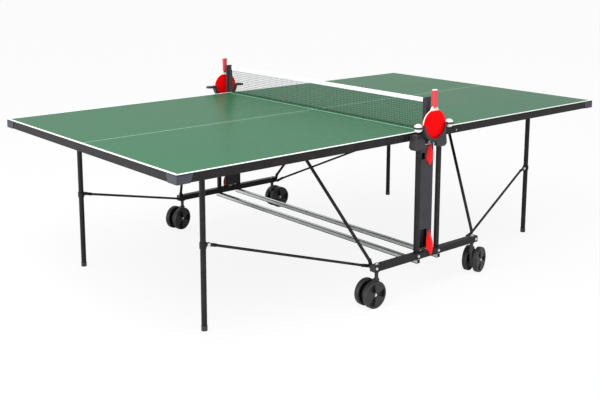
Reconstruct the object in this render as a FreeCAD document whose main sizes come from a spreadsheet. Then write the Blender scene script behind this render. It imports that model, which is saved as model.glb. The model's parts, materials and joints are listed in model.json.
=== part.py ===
import FreeCAD, Part
import math
import os
import Sketcher

# Folding table-tennis table. Millimetres; +X along the table, +Y across it, +Z up.
# The origin lies on the floor under the middle of the net.
# "left" is -X, "right" is +X, "near" is -Y and "far" is +Y.

DIMENSIONS = {
    # playing surface and its apron
    "table_length": 2740, "table_width": 1525, "table_top": 760, "half_clearance": 3,
    "board_thickness": 5, "board_corner": 8, "apron_drop": 39, "rail_width": 20,
    "rail_wall": 1.5, "rail_inset": 2, "cap_wall": 1.5, "cap_arm": 62, "cap_slant": 14,
    "cross_rail": 20, "cross_rail_wall": 1.5,
    # undercarriage
    "beam_x_reach": 356, "beam_y": 790, "beam_width": 30, "beam_height": 30,
    "beam_top": 190, "beam_wall": 2, "tube_bar": 20, "tube_bar_wall": 1.5,
    "post_x": 70, "post_y": 787, "post_width": 20, "post_depth": 16, "post_wall": 1.5,
    "post_top": 750, "foot_plate": 4, "foot_plate_reach": 34,
    "panel_depth": 14, "panel_wall": 2, "panel_base": 200, "panel_top": 700,
    "panel_inner_x": 59.7, "panel_outer_x": 26, "panel_window_base": 208,
    "panel_window_top": 296, "panel_window_inset": 5, "panel_window_width": 48,
    "panel_slot_base": 633, "panel_slot_top": 664, "panel_slot_width": 24, "panel_setback": 2,
    # fold linkage, in the plane of X and Z
    "slider_pin_x": 80, "slider_pin_z": 742, "strut_foot_x": 345, "strut_foot_z": 175,
    "strut_head_x": 515, "strut_head_z": 715, "strut_foot_y": 769, "strut_head_y": 462,
    "leg_x": 1100, "leg_y": 535, "leg_hinge_z": 735, "leg_rail_x": 1135,
    "stay_pin_x": 1076, "stay_pin_z": 375, "stay_foot_y": 747.2, "stay_leg_y": 541,
    # tubes of the linkage
    "leg_radius": 12.5, "leg_wall": 1.5, "foot_radius": 13.6, "foot_height": 22,
    "foot_sole": 3, "collar_radius": 15.5, "collar_height": 26, "lug_thickness": 5,
    "strut_radius": 7.5, "stay_radius": 6, "strut_wall": 1.5, "tab_thickness": 4,
    "strut_tab_radius": 10, "stay_tab_radius": 8, "tab_length": 32, "tab_shoulder": 1,
    "tab_lap": 8, "pin_radius": 4, "pin_fit": 0.06, "side_gap": 0.3, "tube_plug": 7,
    "end_plug": 3, "hinge_pin_radius": 5, "ear_thickness": 5, "bolt_head_radius": 6.5,
    "bolt_head_height": 4, "foot_fit": 0.05, "strut_ear_drop": 11, "leg_ear_drop": 13,
    "leg_ear_gap": 2, "stay_lug_reach": 8, "stay_pin_end": 3, "sleeve_root": 0.5, "lap": 1,
    # sliders on the posts
    "hood_drop": 62, "hood_rise": 10, "hood_reach": 112, "hood_lip_x": 38,
    "hood_lip": 4.6, "hood_inner_y": 765.5, "hood_slide_gap": 0.4, "hood_slant": 26,
    "hood_relief": 0.5, "hood_channel_run": 10, "hood_lip_lift": 4, "hood_pin_root": 3,
    "hood_eye_radius": 4, "hinge_plate": 4, "hinge_plate_reach": 62, "hinge_plate_start": 12,
    "hinge_plate_trim": 2,
    # casters
    "stem_x": 332, "stem_radius": 7, "caster_trail": 38, "wheel_radius": 63.5,
    "wheel_width": 26, "wheel_pitch": 54, "wheel_bore": 5, "wheel_dish": 7,
    "wheel_rim": 9, "hub_radius": 12, "hub_taper": 2, "rim_taper": 1, "tread_bevel": 3,
    "yoke_width": 20, "yoke_top": 128, "yoke_head": 11, "yoke_toe": 16, "yoke_nose": 10,
    "yoke_cheek": 30, "yoke_drop": 46, "yoke_tail": 40,
    "neck_wall": 2, "neck_root": 4, "swivel_gap": 0.3,
    "stem_nut_radius": 10, "stem_nut_height": 8,
    # net
    "net_height": 152.5, "net_tape": 20, "net_half_length": 745, "net_thickness": 2,
    "tape_thickness": 3, "net_post_width": 32, "net_post_inner_y": 769.5,
    "net_post_top": 919, "net_post_base": 702, "net_post_collar_top": 748,
    "net_arm_thickness": 6, "net_arm_lift": 4, "net_mesh_lift": 2,
    # bat holder, bats, balls and release levers
    "cradle_y": 815, "cradle_depth": 26, "cradle_wall": 6, "bat_centre_z": 803,
    "plate_lap": 3, "plate_rise": 12, "plate_lift": 4,
    "bat_radius_x": 75, "bat_radius_z": 79, "bat_ply": 6, "bat_rubber": 2,
    "bat_handle_width": 27, "bat_handle_thick": 20, "bat_handle_base": 868,
    "bat_handle_top": 958, "bat_neck_top": 892, "bat_gap": 1, "bat_neck_drop": 8,
    "bat_rubber_margin": 1.15, "bat_rubber_drop": 4, "cradle_top": 800, "ball_radius": 20,
    "ball_gap": 0.4, "ring_wall": 3, "ring_height": 9, "ring_arm_width": 14, "ring_x": 106, "ring_z": 792,
    "ball_drop": 2, "holder_plate_x": 28, "lever_thickness": 9, "lever_barrel": 16,
    "upper_lever_x": -1, "upper_lever_half_width": 20,
    "upper_lever_top": 698, "upper_lever_base": 600, "upper_lever_tilt": 0,
    "lower_lever_x": 4, "lower_lever_half_width": 21, "lower_lever_top": 282,
    "lower_lever_base": 168, "lower_lever_tilt": 8,
}

LEFT_RIGHT = (("left", -1), ("right", 1))
NEAR_FAR = (("near", -1), ("far", 1))
# Rest direction of each caster's trail, in degrees from +X.
CASTER_YAW = {"near_left": 180, "near_right": 18, "far_left": 195, "far_right": 0}

document = FreeCAD.newDocument("TableTennisTable")
sheet = document.addObject("Spreadsheet::Sheet", "Dimensions")
for row, (alias, number) in enumerate(DIMENSIONS.items(), start=1):
    sheet.set(f"A{row}", alias)
    sheet.set(f"B{row}", str(number))
    sheet.setAlias(f"B{row}", alias)
document.recompute()


def size(alias):
    """The number that the sheet holds under an alias."""
    return float(sheet.get(alias))


def bind(item, **expressions):
    """Bind properties of an object to cells of the sheet, then work it out."""
    for name, expression in expressions.items():
        words = [f"Dimensions.{word}" if word in DIMENSIONS else word for word in expression.split()]
        item.setExpression(name, " ".join(words))
    item.recompute()
    return item


def move(item, x=0.0, y=0.0, z=0.0):
    """Place an object without turning it."""
    item.Placement = FreeCAD.Placement(FreeCAD.Vector(x, y, z), FreeCAD.Rotation())
    return item


def block(name, centre, length, width, height):
    """A box centred on a point; its three sizes are expressions of the sheet."""
    box = bind(document.addObject("Part::Box", name), Length=length, Width=width, Height=height)
    half = (box.Length.Value / 2, box.Width.Value / 2, box.Height.Value / 2)
    return move(box, *(middle - part for middle, part in zip(centre, half)))


def rod(name, start, end, radius):
    """A round bar from one point to another; its radius is an expression of the sheet."""
    first, last = FreeCAD.Vector(*start), FreeCAD.Vector(*end)
    cylinder = bind(document.addObject("Part::Cylinder", name), Radius=radius)
    cylinder.Height = (last - first).Length
    turn = FreeCAD.Rotation(FreeCAD.Vector(0, 0, 1), last - first)
    cylinder.Placement = FreeCAD.Placement(first, turn)
    return cylinder


def cut(name, base, tool):
    """One object less another."""
    result = document.addObject("Part::Cut", name)
    result.Base, result.Tool = base, tool
    result.recompute()
    return result


def fuse(name, items):
    """Several objects joined in one solid."""
    result = document.addObject("Part::MultiFuse", name)
    result.Shapes = items
    result.recompute()
    return result


def box_tube(name, centre, axis, length, width, height, wall):
    """A rectangular tube along X, Y or Z with open ends."""
    sizes = {"X": [length, width, height], "Y": [width, length, height], "Z": [width, height, length]}
    outer = sizes[axis]
    inner = [text if text == length else f"{text} - 2 * {wall}" for text in outer]
    return cut(name, block(name + "_outside", centre, *outer), block(name + "_inside", centre, *inner))


def rod_tube(name, start, end, radius, wall):
    """A round tube between two points with open ends."""
    outside = rod(name + "_outside", start, end, radius)
    inside = rod(name + "_inside", start, end, f"{radius} - {wall}")
    return cut(name, outside, inside)


def origin_plane(body, role):
    """The origin plane of a body with the given role."""
    return next(item for item in body.Origin.OriginFeatures if item.Role == role)


def sketch_on(body, role, outline):
    """A sketch on an origin plane of the body: straight edges, arcs by three points, or circles."""
    sketch = body.newObject("Sketcher::SketchObject", body.Name + "_sketch")
    sketch.AttachmentSupport = [(origin_plane(body, role), "")]
    sketch.MapMode = "FlatFace"
    for kind, *points in outline:
        corners = [FreeCAD.Vector(point[0], point[1], 0) for point in points if isinstance(point, tuple)]
        if kind == "line":
            sketch.addGeometry(Part.LineSegment(*corners), False)
        elif kind == "arc":
            sketch.addGeometry(Part.Arc(*corners), False)
        else:
            circle = Part.Circle(corners[0], FreeCAD.Vector(0, 0, 1), points[1])
            sketch.addGeometry(circle, False)
    return sketch


def polygon(*corners):
    """A closed outline of straight edges."""
    return [("line", start, end) for start, end in zip(corners, corners[1:] + corners[:1])]


def rectangle(low_x, low_y, high_x, high_y):
    """A closed rectangle."""
    return polygon((low_x, low_y), (high_x, low_y), (high_x, high_y), (low_x, high_y))


def padded(name, role, outline, depth):
    """A body with one padded sketch; on XZ_Plane the pad grows toward -Y."""
    body = document.addObject("PartDesign::Body", name)
    sketch = sketch_on(body, role, outline)
    pad = body.newObject("PartDesign::Pad", name + "_pad")
    pad.Profile = sketch
    bind(pad, Length=depth)
    document.recompute()
    return body


def pocket(body, role, outline, both_ways=True):
    """Cut a sketch on an origin plane of the body through everything."""
    before = body.Shape.Volume
    sketch = sketch_on(body, role, outline)
    hollow = body.newObject("PartDesign::Pocket", body.Name + "_pocket")
    hollow.Profile = sketch
    hollow.Type = "ThroughAll"
    hollow.Midplane = both_ways
    document.recompute()
    if body.Shape.Volume > before - 1:
        raise RuntimeError(f"{hollow.Name} cuts nothing")
    return body


def node(label, items):
    """Name a finished sub-part, a group of separate solids where there is more than one."""
    if len(items) == 1:
        piece = items[0]
    else:
        piece = document.addObject("Part::Compound", label + "_group")
        piece.Links = items
        piece.recompute()
    piece.Label = label
    NODES.append(piece)
    return piece


NODES = []
half_width = size("table_width") / 2
half_length = size("table_length") / 2
board_base = size("table_top") - size("board_thickness")
apron_base = size("table_top") - size("apron_drop")
rail_height = "apron_drop - board_thickness"
rail_z = (board_base + apron_base) / 2
rail_outer_x = half_length - size("rail_inset")
rail_outer_y = half_width - size("rail_inset")
beam_z = size("beam_top") - size("beam_height") / 2
beam_base = size("beam_top") - size("beam_height")
post_inner_x = size("post_x") - size("post_width") / 2
post_outer_y = size("post_y") + size("post_depth") / 2
post_inner_y = size("post_y") - size("post_depth") / 2
panel_outer_y = post_outer_y - size("panel_setback")
panel_y = panel_outer_y - size("panel_depth") / 2


def make_beams():
    """Floor beams, their end plugs, and the two bars that tie them together."""
    plugs = []
    for side, far in NEAR_FAR:
        centre = (0, far * size("beam_y"), beam_z)
        beam = box_tube("beam_tube_" + side, centre, "X", "2 * beam_x_reach", "beam_width",
                        "beam_height", "beam_wall")
        drills = []
        for end, right in LEFT_RIGHT:
            stem = (right * size("stem_x"), far * size("beam_y"))
            bore = rod(f"stem_bore_{side}_{end}", (*stem, beam_base - size("lap")),
                       (*stem, size("beam_top") + size("lap")), "stem_radius + pin_fit")
            drills.append(bore)
            plug_x = right * (size("beam_x_reach") + size("end_plug") / 2)
            plugs.append(block(f"beam_plug_{side}_{end}", (plug_x, centre[1], beam_z),
                               "end_plug", "beam_width", "beam_height"))
        node("base_beam_" + side, [cut("beam_" + side, beam, fuse("stem_bores_" + side, drills))])
    node("beam_end_plugs", plugs)
    bars = []
    for end, right in LEFT_RIGHT:
        centre = (right * size("post_x"), 0, beam_base - size("tube_bar") / 2)
        bars.append(box_tube("tie_bar_" + end, centre, "Y", "2 * beam_y + beam_width", "tube_bar",
                             "tube_bar", "tube_bar_wall"))
    node("tie_bars", bars)


def make_posts():
    """Guide posts on the beams, each with a foot plate, and the bolts of the frame."""
    bolts = []
    for side, far in NEAR_FAR:
        posts = []
        for end, right in LEFT_RIGHT:
            x, y = right * size("post_x"), far * size("post_y")
            middle_z = (size("beam_top") + size("post_top")) / 2
            tube = box_tube(f"post_tube_{side}_{end}", (x, y, middle_z), "Z", "post_top - beam_top",
                            "post_width", "post_depth", "post_wall")
            reach = size("foot_plate_reach")
            toe_x = x - right * (size("post_width") + reach) / 2
            toe = block(f"post_toe_{side}_{end}", (toe_x, y, size("beam_top") + size("foot_plate") / 2),
                        "foot_plate_reach", "post_depth", "foot_plate")
            posts.append(fuse(f"post_{side}_{end}", [tube, toe]))
            head_z = size("beam_top") + size("foot_plate")
            face_y = far * (size("beam_y") + size("beam_width") / 2)
            tip_y = face_y + far * size("bolt_head_height")
            under_z = beam_base - size("tube_bar")
            bolts.append(rod(f"toe_bolt_{side}_{end}", (toe_x, y, head_z),
                             (toe_x, y, head_z + size("bolt_head_height")), "bolt_head_radius"))
            bolts.append(rod(f"tie_bolt_{side}_{end}", (x, far * size("beam_y"), under_z),
                             (x, far * size("beam_y"), under_z - size("bolt_head_height")),
                             "bolt_head_radius"))
            bolts.append(rod(f"face_bolt_{side}_{end}", (x, face_y, beam_z), (x, tip_y, beam_z),
                             "bolt_head_radius"))
            foot_x = right * size("strut_foot_x")
            foot_z = size("strut_foot_z")
            inner_face = far * (size("beam_y") - size("beam_width") / 2)
            boss_end = far * (size("strut_foot_y") + size("tab_thickness") / 2 + size("side_gap"))
            bolts.append(rod(f"strut_bolt_{side}_{end}", (foot_x, face_y, foot_z), (foot_x, tip_y, foot_z),
                             "bolt_head_radius"))
            bolts.append(rod(f"strut_boss_{side}_{end}", (foot_x, inner_face, foot_z),
                             (foot_x, boss_end, foot_z), "bolt_head_radius"))
        node("posts_" + side, posts)
    node("frame_bolts", bolts)


def make_panels():
    """Sheet panel beside one post of each pair; the far one is the near one turned half round."""
    for side, far in NEAR_FAR:
        outline = rectangle(-size("panel_inner_x"), size("panel_base"), size("panel_outer_x"),
                            size("panel_top"))
        body = padded("panel_" + side, "XZ_Plane", outline, "panel_depth")
        wall = size("panel_wall")
        hollow = rectangle(-size("panel_inner_x") + wall, -size("panel_depth") + wall,
                           size("panel_outer_x") - wall, wall)
        pocket(body, "XY_Plane", hollow)
        left = -size("panel_inner_x") + size("panel_window_inset")
        window_right = left + size("panel_window_width")
        slot_right = left + size("panel_slot_width")
        window = rectangle(left, size("panel_window_base"), window_right, size("panel_window_top"))
        slot = rectangle(left, size("panel_slot_base"), slot_right, size("panel_slot_top"))
        pocket(body, "XZ_Plane", window + slot)
        turn = FreeCAD.Rotation(FreeCAD.Vector(0, 0, 1), 0 if far < 0 else 180)
        back = FreeCAD.Vector(0, far * (panel_y - size("panel_depth") / 2), 0)
        body.Placement = FreeCAD.Placement(back, turn)
        node("post_panel_" + side, [body])


def make_net():
    """Net, tape and the two posts that carry them between the guide posts."""
    mesh_top = size("table_top") + size("net_height") - size("net_tape")
    mesh_base = size("table_top") + size("net_mesh_lift")
    length = "2 * net_half_length"
    mesh_z = (mesh_top + mesh_base) / 2
    net = block("net_mesh", (0, 0, mesh_z), "net_thickness", length,
                "net_height - net_tape - net_mesh_lift")
    node("net_mesh", [net])
    tape = block("net_band", (0, 0, mesh_top + size("net_tape") / 2), "tape_thickness", length, "net_tape")
    node("net_tape", [tape])
    for side, far in NEAR_FAR:
        base, top = size("net_post_base"), size("net_post_top")
        collar_top = size("net_post_collar_top")
        upright_y = far * (size("net_post_inner_y") + post_inner_y) / 2
        upright = block("net_upright_" + side, (0, upright_y, (base + top) / 2), "net_post_width",
                        "post_y - post_depth / 2 - net_post_inner_y", "net_post_top - net_post_base")
        bridge_y = far * (post_inner_y + panel_outer_y) / 2
        span = block("net_bridge_" + side, (0, bridge_y, (base + collar_top) / 2),
                     "2 * post_x - post_width", "post_depth - panel_setback",
                     "net_post_collar_top - net_post_base")
        arm_y = far * (size("net_half_length") + size("net_post_inner_y")) / 2
        arm_z = size("table_top") + (size("net_height") + size("net_arm_lift")) / 2
        arm = block("net_arm_" + side, (0, arm_y, arm_z), "net_arm_thickness",
                    "net_post_inner_y - net_half_length", "net_height - net_arm_lift")
        node("net_post_" + side, [fuse("net_post_solid_" + side, [upright, span, arm])])


def cradle_outline():
    """U band under the bat with an arm to each ball ring, in the plane of X and Z."""
    inner_x = size("bat_radius_x") + size("bat_gap")
    inner_z = size("bat_radius_z") + size("bat_gap")
    wall = size("cradle_wall")
    top, middle = size("cradle_top"), size("bat_centre_z")
    outer_x, outer_z = inner_x + wall, inner_z + wall

    def at(radius_x, radius_z, height):
        return radius_x * math.sqrt(1 - ((height - middle) / radius_z) ** 2)

    steps = 12
    angles = [math.pi * (1 + (step + 0.5) / (steps + 1)) for step in range(steps + 1)]
    inner = [(inner_x * math.cos(turn), middle + inner_z * math.sin(turn)) for turn in angles]
    outer = [(outer_x * math.cos(turn), middle + outer_z * math.sin(turn)) for turn in angles[::-1]]
    start = (-at(inner_x, inner_z, top), top)
    end = (at(inner_x, inner_z, top), top)
    high_outer = at(outer_x, outer_z, top)
    return polygon(start, *inner, end, (high_outer, top), *outer, (-high_outer, top))


def make_holder(side, far):
    """Bat cradle with a ball ring at each end and a plate against the net post's bridge."""
    depth = size("cradle_depth")
    cradle = padded("cradle_" + side, "XZ_Plane", cradle_outline(), "cradle_depth")
    move(cradle, y=far * size("cradle_y") + depth / 2)
    parts = [cradle]
    cradle_back = size("cradle_y") - depth / 2
    plate_y = far * (panel_outer_y + cradle_back + size("plate_lap")) / 2
    cradle_low = size("bat_centre_z") - size("bat_radius_z") - size("bat_gap") - size("cradle_wall")
    plate_low = size("net_post_base") + size("plate_lift")
    plate_depth = "cradle_y - cradle_depth / 2 + plate_lap - post_y - post_depth / 2 + panel_setback"
    plate_height = "bat_centre_z - bat_radius_z - bat_gap - cradle_wall + plate_rise - plate_lift"
    parts.append(block("holder_plate_" + side,
                       (0, plate_y, (plate_low + cradle_low + size("plate_rise")) / 2),
                       "2 * holder_plate_x", plate_depth, plate_height + " - net_post_base"))
    holes = []
    for end, right in LEFT_RIGHT:
        x, y, z = right * size("ring_x"), far * size("cradle_y"), size("ring_z")
        low, high = z - size("ring_height") / 2, z + size("ring_height") / 2
        arm_start = size("bat_radius_x") + size("bat_gap") + size("cradle_wall") / 2
        arm_end = size("ring_x") - size("ball_radius") - size("ball_gap")
        arm_length = "ring_x - ball_radius - ball_gap - bat_radius_x - bat_gap - cradle_wall / 2"
        parts.append(block(f"ring_arm_{side}_{end}", (right * (arm_start + arm_end) / 2, y, z),
                           arm_length, "ring_arm_width", "ring_height"))
        parts.append(rod(f"ring_{side}_{end}", (x, y, low), (x, y, high),
                         "ball_radius + ball_gap + ring_wall"))
        holes.append(rod(f"ring_hole_{side}_{end}", (x, y, low - size("ring_wall")),
                         (x, y, high + size("ring_wall")), "ball_radius + ball_gap"))
    blank = fuse("holder_blank_" + side, parts)
    body = cut("holder_body_" + side, blank, fuse("ring_holes_" + side, holes))
    node("bat_holder_" + side, [body])


def make_hoods():
    """Plastic sliders that ride down the guide posts, each with the pin that carries a table half."""
    gap = size("hood_slide_gap")
    low = size("slider_pin_z") - size("hood_drop")
    high = size("slider_pin_z") + size("hood_rise")
    inner_y, outer_y = size("hood_inner_y"), post_outer_y + gap + size("hood_lip")
    for end, right in LEFT_RIGHT:
        hoods = []
        for side, far in NEAR_FAR:
            reach, slant = size("hood_reach"), size("hood_slant")
            start = post_inner_x + size("hood_relief")
            outline = polygon((right * start, low), (right * (reach - slant / 2), low),
                              (right * reach, low + slant / 2), (right * (reach - slant / 3), high),
                              (right * start, high))
            hood = padded(f"hood_{side}_{end}", "XZ_Plane", outline,
                          "post_y + post_depth / 2 + hood_slide_gap + hood_lip - hood_inner_y")
            move(hood, y=-inner_y if far < 0 else outer_y)
            channel_x = right * (size("post_x") - size("hood_channel_run") / 2)
            channel = block(f"hood_channel_{side}_{end}",
                            (channel_x, far * size("post_y"), (low + high) / 2),
                            "post_width + hood_channel_run + 2 * hood_slide_gap",
                            "post_depth + 2 * hood_slide_gap", "hood_drop + hood_rise + 2 * lap")
            pin_x, pin_z = right * size("slider_pin_x"), size("slider_pin_z")
            lip_x = right * (size("hood_lip_x") + post_inner_x + size("lap")) / 2
            lip = block(f"hood_lip_{side}_{end}",
                        (lip_x, far * (outer_y - size("hood_lip") / 2),
                         (low + size("hood_lip_lift") + pin_z) / 2),
                        "post_x - post_width / 2 + lap - hood_lip_x", "hood_lip",
                        "hood_drop - hood_lip_lift")
            pin = rod(f"hood_pin_{side}_{end}", (pin_x, far * (rail_outer_y + size("side_gap")), pin_z),
                      (pin_x, far * (inner_y + size("hood_pin_root")), pin_z), "hinge_pin_radius")
            eye = rod(f"hood_eye_{side}_{end}", (pin_x, far * (post_outer_y - size("lap")), pin_z),
                      (pin_x, far * (outer_y + size("lap")), pin_z), "hood_eye_radius")
            shell = cut(f"hood_shell_{side}_{end}", hood, channel)
            solid = fuse(f"hood_solid_{side}_{end}", [shell, lip, pin])
            hoods.append(cut(f"slider_hood_{side}_{end}", solid, eye))
        node("slider_hoods_" + end, hoods)


def make_half(end, right):
    """Board, apron tubes, corner caps, cross rails and hinge brackets of one table half."""
    inner_x = size("half_clearance")
    outline = []
    corner = size("board_corner")
    bulge = corner * (1 - math.sqrt(0.5))
    x0, x1, y1 = right * inner_x, right * half_length, half_width
    xr = right * (half_length - corner)
    outline += [("line", (x0, -y1), (xr, -y1)), ("line", (x1, -y1 + corner), (x1, y1 - corner))]
    outline += [("line", (xr, y1), (x0, y1)), ("line", (x0, y1), (x0, -y1))]
    outline.append(("arc", (xr, -y1), (x1 - right * bulge, -y1 + bulge), (x1, -y1 + corner)))
    outline.append(("arc", (x1, y1 - corner), (x1 - right * bulge, y1 - bulge), (xr, y1)))
    board = padded("board_" + end, "XY_Plane", outline, "board_thickness")
    move(board, z=board_base)
    node("playing_board_" + end, [board])

    side_rails = []
    rail = size("rail_width")
    middle_x = right * (inner_x + rail_outer_x) / 2
    for side, far in NEAR_FAR:
        rail_y = far * (rail_outer_y - rail / 2)
        side_rails.append(box_tube(f"side_rail_{side}_{end}", (middle_x, rail_y, rail_z), "X",
                                   "table_length / 2 - rail_inset - half_clearance", "rail_width",
                                   rail_height, "rail_wall"))
    node("side_rails_" + end, side_rails)
    end_rails = []
    for place, x in (("outer", rail_outer_x - rail / 2), ("inner", inner_x + rail / 2)):
        end_rails.append(box_tube(f"{place}_rail_{end}", (right * x, 0, rail_z), "Y",
                                  "table_width - 2 * rail_inset - 2 * rail_width", "rail_width",
                                  rail_height, "rail_wall"))
    node("end_rails_" + end, end_rails)
    cross = []
    cross_z = board_base - size("cross_rail") / 2
    for place, x in (("strut", size("strut_head_x")), ("leg", size("leg_rail_x"))):
        cross.append(box_tube(f"{place}_cross_{end}", (right * x, 0, cross_z), "Y",
                              "table_width - 2 * rail_inset - 2 * rail_width", "cross_rail",
                              "cross_rail", "cross_rail_wall"))
    node("cross_rails_" + end, cross)

    caps = []
    for side, far in NEAR_FAR:
        wall, arm, slant = size("cap_wall"), size("cap_arm"), size("cap_slant")
        face_x, face_y = rail_outer_x + wall, rail_outer_y + wall
        low, high = apron_base - wall, board_base - size("side_gap")
        along = padded(f"cap_side_{side}_{end}", "XZ_Plane",
                       polygon((right * face_x, low), (right * (face_x - arm), low),
                               (right * (face_x - arm - slant), high), (right * face_x, high)), "cap_wall")
        move(along, y=far * face_y if far > 0 else -rail_outer_y)
        across = padded(f"cap_end_{side}_{end}", "YZ_Plane",
                        polygon((far * face_y, low), (far * (face_y - arm), low),
                                (far * (face_y - arm - slant), high), (far * face_y, high)), "cap_wall")
        move(across, x=rail_outer_x if right > 0 else -face_x)
        floor = block(f"cap_floor_{side}_{end}",
                      (right * (face_x - arm / 2), far * (face_y - rail / 2), apron_base - wall / 2),
                      "cap_arm", "rail_width", "cap_wall")
        caps.append(fuse(f"corner_cap_{side}_{end}", [along, across, floor]))
    node("corner_caps_" + end, caps)
    make_brackets(end, right)


def make_brackets(end, right):
    """Hinge plates by the posts, ears for the support struts and ears for the legs."""
    brackets = []
    for side, far in NEAR_FAR:
        pin_x, pin_z = right * size("slider_pin_x"), size("slider_pin_z")
        plate_x = right * (size("slider_pin_x") + size("hinge_plate_reach") / 2 - size("hinge_plate_start"))
        plate = block(f"hinge_plate_{side}_{end}",
                      (plate_x, far * (rail_outer_y + size("hinge_plate") / 2), rail_z),
                      "hinge_plate_reach", "hinge_plate", rail_height + " - hinge_plate_trim")
        eye = rod(f"hinge_eye_{side}_{end}", (pin_x, far * rail_outer_y, pin_z),
                  (pin_x, far * (rail_outer_y + 2 * size("hinge_plate")), pin_z),
                  "hinge_pin_radius + pin_fit")
        brackets.append(cut(f"hinge_bracket_{side}_{end}", plate, eye))

        head_x, head_z = right * size("strut_head_x"), size("strut_head_z")
        cross_base = board_base - size("cross_rail")
        ear_low = head_z - size("strut_ear_drop")
        half_tab = size("tab_thickness") / 2 + size("side_gap")
        ear = size("ear_thickness")
        ears = []
        for place in (-1, 1):
            ear_y = far * size("strut_head_y") + place * (half_tab + ear / 2)
            ears.append(block(f"strut_ear_{side}_{end}_{place + 1}",
                              (head_x, ear_y, (ear_low + cross_base) / 2), "cross_rail", "ear_thickness",
                              "table_top - board_thickness - cross_rail - strut_head_z + strut_ear_drop"))
        ears.append(rod(f"strut_pin_{side}_{end}",
                        (head_x, far * size("strut_head_y") - half_tab - ear, head_z),
                        (head_x, far * size("strut_head_y") + half_tab + ear, head_z), "pin_radius"))
        brackets.append(fuse(f"strut_bracket_{side}_{end}", ears))

        leg_x, leg_z = right * size("leg_x"), size("leg_hinge_z")
        rail_face = size("leg_rail_x") - size("cross_rail") / 2
        ear_low = leg_z - size("leg_ear_drop")
        ear_inner = size("leg_x") - size("leg_ear_drop")
        ear_y = far * (size("leg_y") + size("leg_radius") + size("leg_ear_gap") + ear / 2)
        leg_ear = block(f"leg_ear_{side}_{end}",
                        (right * (ear_inner + rail_face) / 2, ear_y, (ear_low + board_base) / 2),
                        "leg_rail_x - cross_rail / 2 - leg_x + leg_ear_drop", "ear_thickness",
                        "table_top - board_thickness - leg_hinge_z + leg_ear_drop")
        bore = rod(f"leg_ear_bore_{side}_{end}", (leg_x, ear_y - ear, leg_z), (leg_x, ear_y + ear, leg_z),
                   "hinge_pin_radius + pin_fit")
        brackets.append(cut(f"leg_bracket_{side}_{end}", leg_ear, bore))
    node("hinge_brackets_" + end, brackets)


def make_leg_frame(end, right):
    """U frame of two legs on a cross tube, with hinge pins and stay lugs, and the feet."""
    x, z = right * size("leg_x"), size("leg_hinge_z")
    reach = size("leg_y")
    outer = [rod("leg_cross_" + end, (x, -reach, z), (x, reach, z), "leg_radius")]
    inner = [rod("leg_cross_bore_" + end, (x, -reach, z), (x, reach, z), "leg_radius - leg_wall")]
    extras, feet = [], []
    for side, far in NEAR_FAR:
        y = far * reach
        floor = size("foot_sole") + size("foot_fit")
        outer.append(rod(f"leg_tube_{side}_{end}", (x, y, floor), (x, y, z), "leg_radius"))
        bend = bind(document.addObject("Part::Sphere", f"leg_bend_{side}_{end}"), Radius="leg_radius")
        outer.append(move(bend, x, y, z))
        inner.append(rod(f"leg_bore_{side}_{end}", (x, y, floor - size("lap")), (x, y, z),
                         "leg_radius - leg_wall"))
        pin_end = far * (reach + size("leg_radius") + size("leg_ear_gap") + size("ear_thickness"))
        extras.append(rod(f"leg_pin_{side}_{end}",
                          (x, far * (reach + size("leg_radius") - size("lap")), z),
                          (x, pin_end, z), "hinge_pin_radius"))
        pin_x, pin_z = right * size("stay_pin_x"), size("stay_pin_z")
        collar_low = pin_z - size("collar_height") / 2
        collar = rod_tube(f"leg_collar_{side}_{end}", (x, y, collar_low),
                          (x, y, collar_low + size("collar_height")), "collar_radius",
                          "( collar_radius - leg_radius )")
        tab_face = size("stay_leg_y") - size("tab_thickness") / 2 - size("side_gap")
        lug_y = far * (tab_face - size("lug_thickness") / 2)
        lug_start, lug_end = size("stay_pin_x") - size("stay_lug_reach"), size("leg_x") - size("leg_radius")
        lug = block(f"stay_lug_{side}_{end}", (right * (lug_start + lug_end) / 2, lug_y, pin_z),
                    "leg_x - leg_radius - stay_pin_x + stay_lug_reach", "lug_thickness",
                    "2 * stay_tab_radius")
        pin = rod(f"stay_pin_{side}_{end}", (pin_x, far * (tab_face - size("lap")), pin_z),
                  (pin_x, far * (size("stay_leg_y") + size("stay_pin_end")), pin_z), "pin_radius")
        extras += [collar, lug, pin]
        cup = rod(f"foot_cup_{side}_{end}", (x, y, 0), (x, y, size("foot_height")), "foot_radius")
        hole = rod(f"foot_hole_{side}_{end}", (x, y, size("foot_sole")),
                   (x, y, size("foot_height") + size("lap")), "leg_radius + foot_fit")
        feet.append(cut(f"foot_{side}_{end}", cup, hole))
    tube = cut("leg_tubes_" + end, fuse("leg_outside_" + end, outer), fuse("leg_inside_" + end, inner))
    clearing = [rod(f"collar_clear_{side}_{end}",
                    (x, far * reach, size("stay_pin_z") - size("collar_height")),
                    (x, far * reach, size("stay_pin_z") + size("collar_height")), "leg_radius - leg_wall")
                for side, far in NEAR_FAR]
    whole = fuse("leg_joined_" + end, [tube] + extras)
    node("leg_frame_" + end, [cut("leg_frame_solid_" + end, whole, fuse("collar_clears_" + end, clearing))])
    node("leg_feet_" + end, feet)


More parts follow.
